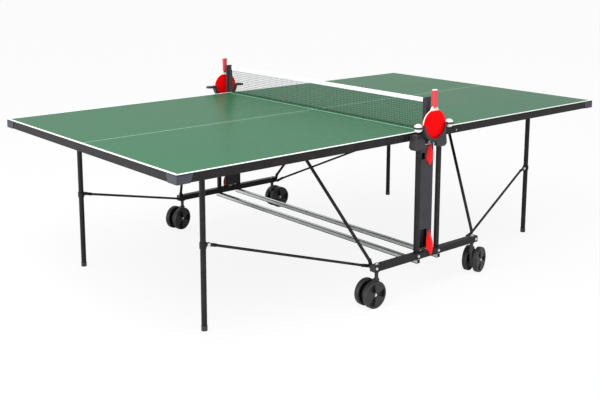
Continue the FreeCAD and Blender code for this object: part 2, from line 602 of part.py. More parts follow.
def link(name, foot, head, foot_rise, head_rise, radius, tab_radius):
    """Tube between two pins with a flat eye at each end.

    foot and head are pin centres. foot_rise and head_rise are where the tube starts and ends.
    """
    tube = rod_tube(name + "_tube", foot_rise, head_rise, radius, "strut_wall")
    parts, holes = [tube], []
    for place, pin, rise in (("foot", foot, foot_rise), ("head", head, head_rise)):
        thick = size("tab_thickness") / 2
        parts.append(rod(f"{name}_{place}_eye", (pin[0], pin[1] - thick, pin[2]),
                         (pin[0], pin[1] + thick, pin[2]), tab_radius))
        span = math.hypot(rise[0] - pin[0], rise[2] - pin[2]) + size("tab_lap")
        turn = math.degrees(math.atan2(rise[2] - pin[2], rise[0] - pin[0]))
        tab = bind(document.addObject("Part::Box", f"{name}_{place}_tab"), Width="tab_thickness",
                   Height=f"2 * {tab_radius} - tab_shoulder")
        tab.Length = span
        spin = FreeCAD.Rotation(FreeCAD.Vector(0, 1, 0), -turn)
        shift = spin.multVec(FreeCAD.Vector(0, -thick, -tab.Height.Value / 2))
        tab.Placement = FreeCAD.Placement(FreeCAD.Vector(*pin) + shift, spin)
        parts.append(tab)
        other = FreeCAD.Vector(*(head_rise if place == "foot" else foot_rise))
        start = FreeCAD.Vector(*rise)
        outward = (start - other).normalize() * size("tube_plug")
        parts.append(rod(f"{name}_{place}_plug", start - outward, start + outward,
                         f"{radius} - strut_wall / 2"))
        holes.append(rod(f"{name}_{place}_hole", (pin[0], pin[1] - 2 * thick, pin[2]),
                         (pin[0], pin[1] + 2 * thick, pin[2]), "pin_radius + pin_fit"))
    return cut(name, fuse(name + "_whole", parts), fuse(name + "_holes", holes))


def along(start, end, distance):
    """The point that lies a distance from start on the way to end, in the plane of X and Z."""
    length = math.hypot(end[0] - start[0], end[2] - start[2])
    share = distance / length
    return (start[0] + (end[0] - start[0]) * share, start[1], start[2] + (end[2] - start[2]) * share)


def make_links(end, right):
    """Support struts from the beam ends to the top, and stays from the beam ends to the legs."""
    struts, stays = [], []
    for side, far in NEAR_FAR:
        reach = size("tab_length")
        foot = (right * size("strut_foot_x"), far * size("strut_foot_y"), size("strut_foot_z"))
        head = (right * size("strut_head_x"), far * size("strut_head_y"), size("strut_head_z"))
        struts.append(link(f"support_strut_{side}_{end}", foot, head, along(foot, head, reach),
                           along(head, foot, reach), "strut_radius", "strut_tab_radius"))
        foot = (right * size("strut_foot_x"), far * size("stay_foot_y"), size("strut_foot_z"))
        head = (right * size("stay_pin_x"), far * size("stay_leg_y"), size("stay_pin_z"))
        stay = link(f"leg_stay_{side}_{end}", foot, head, along(foot, head, reach),
                    along(head, foot, reach), "stay_radius", "stay_tab_radius")
        thick = size("tab_thickness") / 2
        sleeve_start = far * (size("stay_foot_y") + thick - size("sleeve_root"))
        sleeve_end = far * (size("strut_foot_y") - thick - size("side_gap"))
        sleeve = rod(f"stay_sleeve_{side}_{end}", (foot[0], sleeve_start, foot[2]),
                     (foot[0], sleeve_end, foot[2]), "bolt_head_radius")
        stays.append(fuse(f"leg_stay_whole_{side}_{end}", [stay, sleeve]))
    node("support_struts_" + end, struts)
    node("leg_stays_" + end, stays)


def make_caster(corner, far, right):
    """Swivel yoke with its stem and axle, and the two wheels on it."""
    stem = (right * size("stem_x"), far * size("beam_y"))
    yaw = math.radians(CASTER_YAW[corner])
    trail = size("caster_trail")
    axle = (stem[0] + trail * math.cos(yaw), stem[1] + trail * math.sin(yaw), size("wheel_radius"))
    across = FreeCAD.Rotation(FreeCAD.Vector(0, 0, 1), CASTER_YAW[corner])
    gap = size("swivel_gap")

    def beside(distance):
        offset = across.multVec(FreeCAD.Vector(0, distance, 0))
        return (axle[0] + offset.x, axle[1] + offset.y, axle[2])

    top, hub = size("yoke_top"), size("wheel_radius")
    head, toe = size("yoke_head"), size("yoke_toe")
    tail, low = trail - size("yoke_tail"), hub - size("yoke_drop")
    outline = polygon((-head, top), (head, top), (trail + toe, hub + size("yoke_nose")),
                      (trail + toe, hub - toe), (trail, low), (tail + toe, low),
                      (tail, hub - toe), (-head, top - size("yoke_cheek")))
    yoke = padded("yoke_" + corner, "XZ_Plane", outline, "yoke_width")
    shift = across.multVec(FreeCAD.Vector(0, size("yoke_width") / 2, 0))
    yoke.Placement = FreeCAD.Placement(FreeCAD.Vector(stem[0], stem[1], 0) + shift, across)
    neck = rod("neck_" + corner, (*stem, top - size("neck_root")), (*stem, beam_base - gap),
               "stem_radius + neck_wall")
    pin = rod("stem_" + corner, (*stem, beam_base - 2 * size("lap")),
              (*stem, size("beam_top") + size("lap")), "stem_radius")
    nut = rod("stem_nut_" + corner, (*stem, size("beam_top") + gap),
              (*stem, size("beam_top") + gap + size("stem_nut_height")), "stem_nut_radius")
    reach = size("wheel_pitch") / 2 + size("wheel_width") / 2 + size("lap")
    shaft = rod("axle_" + corner, beside(-reach), beside(reach), "wheel_bore")
    node("caster_yoke_" + corner, [fuse("caster_yoke_solid_" + corner, [yoke, neck, pin, nut, shaft])])
    for place, outward in (("inner", -far), ("outer", far)):
        offset = outward * math.copysign(1, math.cos(yaw)) * size("wheel_pitch") / 2
        make_wheel(f"caster_wheel_{corner}_{place}", beside(offset), across)


def make_wheel(name, hub, turn):
    """Wheel revolved about its axle, dished on both faces."""
    half, radius = size("wheel_width") / 2, size("wheel_radius")
    bore = size("wheel_bore") + size("pin_fit")
    dish, rim = size("wheel_dish"), radius - size("wheel_rim")
    boss, root = size("hub_radius"), size("hub_radius") + size("hub_taper")
    lip, bevel = rim + size("rim_taper"), size("tread_bevel")
    upper = [(bore, half), (boss, half), (root, half - dish), (rim, half - dish), (lip, half),
             (radius - bevel, half), (radius, half - bevel)]
    outline = polygon(*upper, *[(across, -height) for across, height in reversed(upper)])
    body = document.addObject("PartDesign::Body", name + "_body")
    sketch = sketch_on(body, "XY_Plane", outline)
    spin = body.newObject("PartDesign::Revolution", name + "_turned")
    spin.Profile = sketch
    spin.ReferenceAxis = (sketch, ["V_Axis"])
    spin.Angle = 360
    document.recompute()
    body.Placement = FreeCAD.Placement(FreeCAD.Vector(*hub), turn)
    node(name, [body])


def make_lever(place, side, far):
    """Leaf-shaped release lever in front of the panel, on a hinge barrel at its upper end."""
    name = f"{place}_lever"
    top, base = size(name + "_top"), size(name + "_base")
    width = size(name + "_half_width")
    middle = (base - top) / 2
    outline = [("arc", (0, base - top), (-width, middle), (0, 0)),
               ("arc", (0, 0), (width, middle), (0, base - top))]
    leaf = padded(f"{name}_leaf_{side}", "XZ_Plane", outline, "lever_thickness")
    move(leaf, y=size("lever_thickness") / 2)
    reach = size("lever_barrel") / 2
    barrel = rod(f"{name}_barrel_{side}", (-reach, 0, 0), (reach, 0, 0), "lever_thickness / 2")
    whole = fuse(f"{name}_whole_{side}", [leaf, barrel])
    turn = FreeCAD.Rotation(FreeCAD.Vector(0, 0, 1), 0 if far < 0 else 180)
    lean = FreeCAD.Rotation(FreeCAD.Vector(1, 0, 0), -size(name + "_tilt"))
    hinge_y = panel_outer_y + size("side_gap") + size("lever_thickness") / 2
    hinge = FreeCAD.Vector(-far * size(name + "_x"), far * hinge_y, top)
    whole.Placement = FreeCAD.Placement(hinge, turn.multiply(lean))
    node(f"{name}_{side}", [whole])


def make_bat(side, far):
    """Bat held blade down: ply blade with its handle, and a rubber sheet on each face."""
    y = far * size("cradle_y")
    middle, wide, tall = size("bat_centre_z"), size("bat_radius_x"), size("bat_radius_z")
    handle = size("bat_handle_width") / 2
    neck_low = size("bat_handle_base") - size("bat_neck_drop")
    neck_x = wide * math.sqrt(1 - ((neck_low - middle) / tall) ** 2)
    start = math.atan2((neck_low - middle) / tall, neck_x / wide)
    steps = 28
    sweep = [start - (math.pi + 2 * start) * step / steps for step in range(steps + 1)]
    round_edge = [(wide * math.cos(turn), middle + tall * math.sin(turn)) for turn in sweep]
    neck = size("bat_neck_top")
    outline = polygon((-handle, neck), (handle, neck), *round_edge)
    blade = padded("bat_ply_" + side, "XZ_Plane", outline, "bat_ply")
    move(blade, y=y + size("bat_ply") / 2)
    grip = block("bat_grip_" + side, (0, y, (size("bat_handle_base") + size("bat_handle_top")) / 2),
                 "bat_handle_width", "bat_handle_thick", "bat_handle_top - bat_handle_base")
    node("bat_blade_" + side, [fuse("bat_" + side, [blade, grip])])
    sheets = []
    share = 1 - size("bat_rubber_margin") / wide
    rubber_top = neck_low - size("bat_rubber_drop")
    covered = [(share * px, middle + share * (pz - middle)) for px, pz in round_edge if pz < rubber_top]
    for place in (-1, 1):
        sheet_body = padded(f"bat_rubber_{side}_{place + 1}", "XZ_Plane", polygon(*covered), "bat_rubber")
        front = y + place * size("bat_ply") / 2
        move(sheet_body, y=front + (size("bat_rubber") if place > 0 else 0))
        sheets.append(sheet_body)
    node("bat_rubbers_" + side, sheets)


def make_balls():
    """One ball in each ring of the near holder."""
    for end, right in LEFT_RIGHT:
        ball = bind(document.addObject("Part::Sphere", "ball_" + end), Radius="ball_radius")
        move(ball, right * size("ring_x"), -size("cradle_y"), size("ring_z") - size("ball_drop"))
        node("ball_" + end, [ball])


make_beams()
make_posts()
make_panels()
make_net()
for side, far in NEAR_FAR:
    make_holder(side, far)
make_hoods()
for end, right in LEFT_RIGHT:
    make_half(end, right)
    make_leg_frame(end, right)
    make_links(end, right)
for side, far in NEAR_FAR:
    for end, right in LEFT_RIGHT:
        make_caster(f"{side}_{end}", far, right)
    make_lever("upper", side, far)
    make_lever("lower", side, far)
    make_bat(side, far)
make_balls()

document.recompute()
for item in document.Objects:
    if {"Invalid", "Error"} & set(item.State):
        raise RuntimeError(f"{item.Label} failed: {item.State}")
os.makedirs("parts", exist_ok=True)
for piece in NODES:
    if piece.Shape.isNull() or not piece.Shape.isValid():
        raise RuntimeError(f"{piece.Label} has no valid shape")
    piece.Shape.exportStep(f"parts/{piece.Label}.step")
print(len(NODES), "sub-parts")
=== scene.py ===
"""Folding table-tennis table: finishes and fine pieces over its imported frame.

Metres; +X along the table, +Y across it, +Z up, origin on the floor under the middle of the net.
Every new piece is a surface worked out with numpy and rides on the body that carries it.
"""

import json

import bmesh
import bpy
import numpy as np
from mathutils import Matrix, Vector


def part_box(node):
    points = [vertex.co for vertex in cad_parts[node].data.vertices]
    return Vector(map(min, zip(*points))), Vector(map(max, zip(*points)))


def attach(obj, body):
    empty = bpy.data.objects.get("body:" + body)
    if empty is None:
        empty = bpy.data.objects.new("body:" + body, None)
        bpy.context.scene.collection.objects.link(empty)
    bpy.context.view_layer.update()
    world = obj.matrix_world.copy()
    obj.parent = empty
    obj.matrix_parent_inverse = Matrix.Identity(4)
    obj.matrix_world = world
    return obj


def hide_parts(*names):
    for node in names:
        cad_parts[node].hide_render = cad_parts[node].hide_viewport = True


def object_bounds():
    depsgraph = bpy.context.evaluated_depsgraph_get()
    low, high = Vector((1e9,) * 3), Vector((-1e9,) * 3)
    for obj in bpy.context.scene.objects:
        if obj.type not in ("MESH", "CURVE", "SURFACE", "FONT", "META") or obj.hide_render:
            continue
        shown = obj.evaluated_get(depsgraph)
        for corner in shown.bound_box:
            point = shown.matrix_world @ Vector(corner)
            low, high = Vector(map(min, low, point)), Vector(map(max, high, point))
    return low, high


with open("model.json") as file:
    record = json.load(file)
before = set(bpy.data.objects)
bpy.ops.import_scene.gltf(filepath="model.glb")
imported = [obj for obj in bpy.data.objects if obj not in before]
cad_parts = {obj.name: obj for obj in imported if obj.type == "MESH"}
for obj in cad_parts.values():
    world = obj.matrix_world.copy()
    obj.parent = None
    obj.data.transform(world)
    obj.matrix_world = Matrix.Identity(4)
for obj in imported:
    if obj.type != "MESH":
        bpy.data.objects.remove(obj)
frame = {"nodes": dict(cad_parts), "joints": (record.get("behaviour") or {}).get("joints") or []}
cad_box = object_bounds()
joints = {joint["name"]: joint for joint in frame["joints"]}

MM = 0.001
X, Y, Z = np.eye(3)
LEFT_RIGHT = (("left", -1), ("right", 1))
NEAR_FAR = (("near", -1), ("far", 1))
CORNERS = [f"{side}_{end}" for side, _ in NEAR_FAR for end, _ in LEFT_RIGHT]


# ---------------------------------------------------------------- finishes

def linear(code):
    """Linear colour of an sRGB hex code: c / 12.92 below 0.04045, else ((c + 0.055) / 1.055) ** 2.4."""
    shares = [int(code[place:place + 2], 16) / 255 for place in (1, 3, 5)]
    return [c / 12.92 if c <= 0.04045 else ((c + 0.055) / 1.055) ** 2.4 for c in shares] + [1.0]


def add(tree, kind, sockets=None, **settings):
    """Add a node; sockets maps an input's name or number to a value or to another node's output."""
    node = tree.nodes.new("ShaderNode" + kind)
    for name, setting in settings.items():
        setattr(node, name, setting)
    for name, value in (sockets or {}).items():
        if isinstance(value, bpy.types.NodeSocket):
            tree.links.new(value, node.inputs[name])
        else:
            node.inputs[name].default_value = value
    return node


def start_finish(name, **plain):
    """A new material: its tree, its shader with the plain sockets set, and Object coordinates."""
    material = bpy.data.materials.new(name)
    material.use_nodes = True
    tree = material.node_tree
    shader = tree.nodes["Principled BSDF"]
    for socket, value in plain.items():
        shader.inputs[socket.replace("_", " ")].default_value = value
    place = add(tree, "TexCoord").outputs["Object"]
    return material, tree, shader, place


def blend_colours(tree, share, first, second):
    """Colour from first at share 0 to second at share 1; each is a colour or a socket."""
    mix = add(tree, "Mix", {"Factor": share, 6: first, 7: second}, data_type="RGBA")
    return mix.outputs[2]


def join(tree, shader, **sockets):
    """Link outputs to the shader's inputs; underscores stand for spaces."""
    for name, output in sockets.items():
        tree.links.new(output, shader.inputs[name.replace("_", " ")])


def painted_board():
    """Melamine-faced board, roller painted: satin green, white lines, an even fine pebble."""
    half_length, half_width = cad_box[1].x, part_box("playing_board_left")[1].y
    material, tree, shader, place = start_finish("melamine_board_painted", Specular_IOR_Level=0.02)
    axes = add(tree, "SeparateXYZ", {0: place})
    across = add(tree, "Math", {0: axes.outputs["Y"]}, operation="ABSOLUTE").outputs[0]
    along = add(tree, "Math", {0: axes.outputs["X"]}, operation="ABSOLUTE").outputs[0]
    side_line = add(tree, "Math", {0: across, 1: half_width - 13 * MM}, operation="GREATER_THAN")
    end_line = add(tree, "Math", {0: along, 1: half_length - 13 * MM}, operation="GREATER_THAN")
    centre_line = add(tree, "Math", {0: across, 1: 1.5 * MM}, operation="LESS_THAN")
    edges = add(tree, "Math", {0: side_line.outputs[0], 1: end_line.outputs[0]}, operation="MAXIMUM")
    # cloudy tone of a rolled coat, patches about 0.3 m wide
    cloud = add(tree, "TexNoise", {"Vector": place, "Scale": 1 / 0.3, "Detail": 3.0})
    green = blend_colours(tree, cloud.outputs["Fac"], linear("#33684a"), linear("#3a7050"))
    with_centre = blend_colours(tree, centre_line.outputs[0], green, linear("#cfe6d8"))
    # painted highlight: a pale green band 7 to 23 mm from the net on each half stands for the light caught by
    # the board's edge there
    seam_and_highlight = add(tree, "Math", {0: along, 1: 15 * MM, 2: 8 * MM}, operation="COMPARE")
    with_edge_highlight = blend_colours(tree, seam_and_highlight.outputs[0], with_centre, linear("#7ab892"))
    lined = blend_colours(tree, edges.outputs[0], with_edge_highlight, linear("#f4f7f4"))
    # the printed face is the upper one; the underside is plain dark board
    printed_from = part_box("playing_board_left")[1].z - 1 * MM
    upper = add(tree, "Math", {0: axes.outputs["Z"], 1: printed_from}, operation="GREATER_THAN")
    base = blend_colours(tree, upper.outputs[0], linear("#23372c"), lined)
    # pebble of the coat is 0.6 mm on the real board; drawn at 4 mm so that it shows
    pebble = add(tree, "TexNoise", {"Vector": place, "Scale": 1 / (4 * MM), "Detail": 1.0})
    bump = add(tree, "Bump", {"Strength": 0.025, "Distance": 0.1 * MM, "Height": pebble.outputs["Fac"]})
    rough = add(tree, "MapRange", {"Value": cloud.outputs["Fac"], "To Min": 0.24, "To Max": 0.32})
    join(tree, shader, Base_Color=base, Roughness=rough.outputs[0], Normal=bump.outputs[0])
    return material


def coated_steel(name, colour, worn, rough):
    """Powder-coated steel: orange peel of 1.2 mm, softened edges, coat thinner and paler on them."""
    material, tree, shader, place = start_finish(name, Specular_IOR_Level=0.18)
    peel = add(tree, "TexNoise", {"Vector": place, "Scale": 1 / (1.2 * MM), "Detail": 2.0})
    patches = add(tree, "TexNoise", {"Vector": place, "Scale": 1 / (60 * MM), "Detail": 4.0})
    soft = add(tree, "Bevel", {"Radius": 1.6 * MM}, samples=4)
    bump = add(tree, "Bump", {"Strength": 0.12, "Distance": 0.15 * MM, "Height": peel.outputs["Fac"],
                              "Normal": soft.outputs[0]})
    flat = add(tree, "NewGeometry").outputs["Normal"]
    turned_by = add(tree, "VectorMath", {0: soft.outputs[0], 1: flat}, operation="DOT_PRODUCT")
    edge = add(tree, "MapRange", {"Value": turned_by.outputs["Value"], "From Min": 0.98,
                                  "From Max": 0.75, "To Max": 0.7})
    tone = add(tree, "MapRange", {"Value": patches.outputs["Fac"], "From Min": 0.35, "From Max": 0.75,
                                  "To Max": 0.35})
    base = blend_colours(tree, tone.outputs[0], linear(colour), linear(worn))
    base = blend_colours(tree, edge.outputs[0], base, linear(worn))
    gloss = add(tree, "MapRange", {"Value": patches.outputs["Fac"], "To Min": rough - 0.06,
                                   "To Max": rough + 0.08})
    join(tree, shader, Base_Color=base, Roughness=gloss.outputs[0], Normal=bump.outputs[0])
    return material


def zinc_plate(name, drawn):
    """Zinc-plated steel: bright blue-white metal with drawing streaks and dull passivated patches."""
    material, tree, shader, place = start_finish(name, Metallic=1.0)
    # streaks run along Y on the drawn bars: 2 mm wide and 150 mm long
    stretch = (1 / (2 * MM), 1 / (150 * MM), 1 / (2 * MM)) if drawn else (1 / (3 * MM),) * 3
    mapped = add(tree, "Mapping", {"Vector": place, "Scale": stretch})
    streak = add(tree, "TexNoise", {"Vector": mapped.outputs[0], "Scale": 1.0, "Detail": 3.0})
    patch = add(tree, "TexNoise", {"Vector": place, "Scale": 1 / (40 * MM), "Detail": 3.0})
    base = blend_colours(tree, streak.outputs["Fac"], linear("#b9bfbd"), linear("#fbfdfb"))
    base = blend_colours(tree, patch.outputs["Fac"], base, linear("#dde3e0"))
    if drawn:
        # painted shade on the rolled corners: dark bands where both |z - middle| and ||x| - middle| pass 6.5
        # mm, standing in for the darker look of the rounded corners between the lit faces
        axes, middle = add(tree, "SeparateXYZ", {0: place}), mid("tie_bars")
        aside = add(tree, "Math", {0: axes.outputs["X"]}, operation="ABSOLUTE")
        aside = add(tree, "Math", {0: aside.outputs[0], 1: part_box("tie_bars")[1].x - 10 * MM},
                    operation="SUBTRACT")
        above = add(tree, "Math", {0: axes.outputs["Z"], 1: middle[2]}, operation="SUBTRACT")
        away = [add(tree, "Math", {0: part.outputs[0]}, operation="ABSOLUTE").outputs[0]
                for part in (aside, above)]
        nearer = add(tree, "Math", {0: away[0], 1: away[1]}, operation="MINIMUM")
        corner = add(tree, "MapRange", {"Value": nearer.outputs[0], "From Min": 6 * MM,
                                        "From Max": 7 * MM, "To Max": 0.92})
        base = blend_colours(tree, corner.outputs[0], base, linear("#2b302e"))
    gloss = add(tree, "MapRange", {"Value": streak.outputs["Fac"], "To Min": 0.2, "To Max": 0.44})
    bump = add(tree, "Bump", {"Strength": 0.15, "Distance": 0.1 * MM, "Height": streak.outputs["Fac"]})
    join(tree, shader, Base_Color=base, Roughness=gloss.outputs[0], Normal=bump.outputs[0])
    return material


def moulded_plastic(name, colour, pale, rough, grain=0.9, soften=1.2):
    """Injection-moulded polyamide: spark-eroded grain (sizes in mm), slightly chalky high spots."""
    material, tree, shader, place = start_finish(name, IOR=1.53)
    dots = add(tree, "TexNoise", {"Vector": place, "Scale": 1 / (grain * MM), "Detail": 2.0})
    flow = add(tree, "TexNoise", {"Vector": place, "Scale": 1 / (25 * MM), "Detail": 3.0})
    soft = add(tree, "Bevel", {"Radius": soften * MM}, samples=4)
    bump = add(tree, "Bump", {"Strength": 0.2, "Distance": 0.12 * MM, "Height": dots.outputs["Fac"],
                              "Normal": soft.outputs[0]})
    chalk = add(tree, "MapRange", {"Value": flow.outputs["Fac"], "From Min": 0.3, "From Max": 0.7,
                                   "To Max": 0.45})
    base = blend_colours(tree, chalk.outputs[0], linear(colour), linear(pale))
    gloss = add(tree, "MapRange", {"Value": dots.outputs["Fac"], "To Min": rough - 0.07,
                                   "To Max": rough + 0.07})
    join(tree, shader, Base_Color=base, Roughness=gloss.outputs[0], Normal=bump.outputs[0])
    return material


def wheel_plastic():
    """Moulded polypropylene wheel: satin black-grey; painted shade takes the colour to near black where the
    wheel's shade attribute is 1, in the sunk wedges and the hollow back.
    """
    material, tree, shader, place = start_finish("polypropylene_wheel_moulded", Specular_IOR_Level=0.4)
    deep = add(tree, "Attribute", attribute_name="painted_recess_shade").outputs["Fac"]
    scuff = add(tree, "TexNoise", {"Vector": place, "Scale": 1 / (9 * MM), "Detail": 5.0})
    worn = blend_colours(tree, scuff.outputs["Fac"], linear("#1f1e1f"), linear("#333234"))
    # painted shade: near black where the shade attribute is 1
    base = blend_colours(tree, deep, worn, linear("#020202"))
    grain = add(tree, "TexNoise", {"Vector": place, "Scale": 1 / (1.1 * MM), "Detail": 1.0})
    bump = add(tree, "Bump", {"Strength": 0.2, "Distance": 0.15 * MM, "Height": grain.outputs["Fac"]})
    gloss = add(tree, "MapRange", {"Value": scuff.outputs["Fac"], "To Min": 0.38, "To Max": 0.6})
    join(tree, shader, Base_Color=base, Roughness=gloss.outputs[0], Normal=bump.outputs[0])
    return material


def net_yarn():
    """Twisted polyethylene twine: dull green; the plies show as slanting turns, with painted shade darker in
    the grooves between them and lighter on their crests.
    """
    material, tree, shader, _ = start_finish("polyethylene_twine_twisted", Specular_IOR_Level=0.1)
    along = add(tree, "UVMap").outputs[0]
    # three plies in a lay of 3 mm: u runs round the twine, v counts metres along it
    mapped = add(tree, "Mapping", {"Vector": along, "Scale": (3.0, 1 / (3 * MM), 1.0)})
    plies = add(tree, "TexWave", {"Vector": mapped.outputs[0], "Scale": 0.32}, bands_direction="DIAGONAL")
    # painted shade: darker green in the grooves between the plies, lighter on their crests
    base = blend_colours(tree, plies.outputs["Fac"], linear("#0c3223"), linear("#1f4f39"))
    bump = add(tree, "Bump", {"Strength": 0.4, "Distance": 0.15 * MM, "Height": plies.outputs["Fac"]})
    gloss = add(tree, "MapRange", {"Value": plies.outputs["Fac"], "To Min": 0.72, "To Max": 0.6})
    join(tree, shader, Base_Color=base, Roughness=gloss.outputs[0], Normal=bump.outputs[0])
    return material


def woven_tape():
    """Plain-woven cotton tape: white, matt, threads crossing at 1 mm (0.5 mm really), stitched hems."""
    material, tree, shader, _ = start_finish("cotton_tape_woven", Sheen_Weight=0.3)
    flat = add(tree, "UVMap").outputs[0]
    mapped = add(tree, "Mapping", {"Vector": flat, "Scale": (1 / (1 * MM), 1 / (1 * MM), 1.0)})
    warp = add(tree, "TexWave", {"Vector": mapped.outputs[0], "Scale": 0.5}, bands_direction="X")
    weft = add(tree, "TexWave", {"Vector": mapped.outputs[0], "Scale": 0.5}, bands_direction="Y")
    weave = add(tree, "Math", {0: warp.outputs["Fac"], 1: weft.outputs["Fac"]}, operation="MULTIPLY")
    soil = add(tree, "TexNoise", {"Vector": flat, "Scale": 1 / (70 * MM), "Detail": 3.0})
    base = blend_colours(tree, soil.outputs["Fac"], linear("#fbfbf9"), linear("#eeefec"))
    base = blend_colours(tree, weave.outputs[0], linear("#f8f9f7"), base)
    bump = add(tree, "Bump", {"Strength": 0.3, "Distance": 0.2 * MM, "Height": weave.outputs[0]})
    gloss = add(tree, "MapRange", {"Value": weave.outputs[0], "To Min": 0.9, "To Max": 0.8})
    join(tree, shader, Base_Color=base, Roughness=gloss.outputs[0], Normal=bump.outputs[0])
    return material


def red_lever_plastic():
    """Glossy moulded ABS in signal red, with faint flow lines along the leaf."""
    material, tree, shader, place = start_finish("abs_red_moulded", Specular_IOR_Level=0.2)
    mapped = add(tree, "Mapping", {"Vector": place, "Scale": (1 / (4 * MM), 1 / (4 * MM), 1 / (40 * MM))})
    flow = add(tree, "TexNoise", {"Vector": mapped.outputs[0], "Scale": 1.0, "Detail": 2.0})
    base = blend_colours(tree, flow.outputs["Fac"], linear("#f00006"), linear("#ff0810"))
    bump = add(tree, "Bump", {"Strength": 0.05, "Distance": 0.2 * MM, "Height": flow.outputs["Fac"]})
    gloss = add(tree, "MapRange", {"Value": flow.outputs["Fac"], "To Min": 0.24, "To Max": 0.36})
    join(tree, shader, Base_Color=base, Roughness=gloss.outputs[0], Normal=bump.outputs[0])
    return material


def bat_wood():
    """Poplar ply under clear lacquer: pale, with grain along the handle and glue lines on the edge."""
    material, tree, shader, place = start_finish("poplar_ply_lacquered", Coat_Weight=0.3)
    mapped = add(tree, "Mapping", {"Vector": place, "Scale": (1 / (2 * MM), 1 / (2 * MM), 1 / (60 * MM))})
    grain = add(tree, "TexNoise", {"Vector": mapped.outputs[0], "Scale": 1.0, "Detail": 4.0})
    base = blend_colours(tree, grain.outputs["Fac"], linear("#fbf6ef"), linear("#efe2d2"))
    bump = add(tree, "Bump", {"Strength": 0.1, "Distance": 0.1 * MM, "Height": grain.outputs["Fac"]})
    gloss = add(tree, "MapRange", {"Value": grain.outputs["Fac"], "To Min": 0.35, "To Max": 0.5})
    join(tree, shader, Base_Color=base, Roughness=gloss.outputs[0], Normal=bump.outputs[0])
    return material


def bat_grip():
    """Red-stained lacquered wood of the handle: darker pores along the grain, white cap at the end."""
    material, tree, shader, place = start_finish("beech_red_stained", Coat_Weight=0.4)
    mapped = add(tree, "Mapping", {"Vector": place, "Scale": (1 / (1.5 * MM), 1 / (1.5 * MM), 1 / (25 * MM))})
    pores = add(tree, "TexNoise", {"Vector": mapped.outputs[0], "Scale": 1.0, "Detail": 4.0})
    red = blend_colours(tree, pores.outputs["Fac"], linear("#d31f2e"), linear("#ef3b45"))
    height = add(tree, "SeparateXYZ", {0: place}).outputs["Z"]
    cap = add(tree, "Math", {0: height, 1: cad_box[1].z - 3 * MM}, operation="GREATER_THAN")
    base = blend_colours(tree, cap.outputs[0], red, linear("#fbf3ea"))
    bump = add(tree, "Bump", {"Strength": 0.15, "Distance": 0.15 * MM, "Height": pores.outputs["Fac"]})
    gloss = add(tree, "MapRange", {"Value": pores.outputs["Fac"], "To Min": 0.3, "To Max": 0.45})
    join(tree, shader, Base_Color=base, Roughness=gloss.outputs[0], Normal=bump.outputs[0])
    return material


def bat_rubber():
    """Smooth natural rubber sheet: saturated red, pimples of 1.8 mm pitch just telling through."""
    material, tree, shader, place = start_finish("natural_rubber_pressed", Specular_IOR_Level=0.04)
    mapped = add(tree, "Mapping", {"Vector": place, "Scale": (1 / (1.8 * MM),) * 3})
    pimples = add(tree, "TexVoronoi", {"Vector": mapped.outputs[0], "Scale": 1.0, "Randomness": 0.15})
    use = add(tree, "TexNoise", {"Vector": place, "Scale": 1 / (35 * MM), "Detail": 3.0})
    base = blend_colours(tree, use.outputs["Fac"], linear("#f50006"), linear("#ff040c"))
    bump = add(tree, "Bump", {"Strength": 0.06, "Distance": 0.2 * MM, "Height": pimples.outputs["Distance"]})
    gloss = add(tree, "MapRange", {"Value": use.outputs["Fac"], "To Min": 0.42, "To Max": 0.58})
    join(tree, shader, Base_Color=base, Roughness=gloss.outputs[0], Normal=bump.outputs[0])
    return material


def ball_celluloid():
    """Celluloid ball: matt white with a ground surface, a faint glued seam round its middle."""
    material, tree, shader, place = start_finish("celluloid_ground", Subsurface_Weight=0.1)
    ground = add(tree, "TexNoise", {"Vector": place, "Scale": 1 / (0.8 * MM), "Detail": 2.0})
    height = add(tree, "SeparateXYZ", {0: place}).outputs["Z"]
    seam_and_highlight = add(tree, "Math", {0: height, 1: BALL_Z, 2: 0.25 * MM}, operation="COMPARE")
    base = blend_colours(tree, ground.outputs["Fac"], linear("#fafaf7"), linear("#eeeeea"))
    base = blend_colours(tree, seam_and_highlight.outputs[0], base, linear("#d9d9d4"))
    bump = add(tree, "Bump", {"Strength": 0.1, "Distance": 0.1 * MM, "Height": ground.outputs["Fac"]})
    gloss = add(tree, "MapRange", {"Value": ground.outputs["Fac"], "To Min": 0.45, "To Max": 0.6})
    join(tree, shader, Base_Color=base, Roughness=gloss.outputs[0], Normal=bump.outputs[0])
    return material


# ---------------------------------------------------------------- surfaces

def mid(node):
    """Middle of a CAD node's box."""
    low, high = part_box(node)
    return np.array((low + high) / 2)


def solids_of(node):
    """Box of each separate solid of a CAD node: corners that coincide share a label, and each
    triangle spreads its lowest label until none changes."""
    mesh = frame["nodes"][node].data
    mesh.calc_loop_triangles()
    points = np.empty(len(mesh.vertices) * 3)
    mesh.vertices.foreach_get("co", points)
    points = points.reshape(-1, 3)
    corners = np.empty(len(mesh.loop_triangles) * 3, int)
    mesh.loop_triangles.foreach_get("vertices", corners)
    _, same = np.unique(np.round(points, 6), axis=0, return_inverse=True)
    triangles = same.ravel()[corners.reshape(-1, 3)]
    labels = np.arange(same.max() + 1)
    while True:
        spread = labels.copy()
        np.minimum.at(spread, triangles, labels[triangles].min(1)[:, None].repeat(3, 1))
        spread = spread[spread]
        if (spread == labels).all():
            break
        labels = spread
    owner = labels[same.ravel()]
    return [(points[owner == label].min(0), points[owner == label].max(0)) for label in np.unique(owner)]


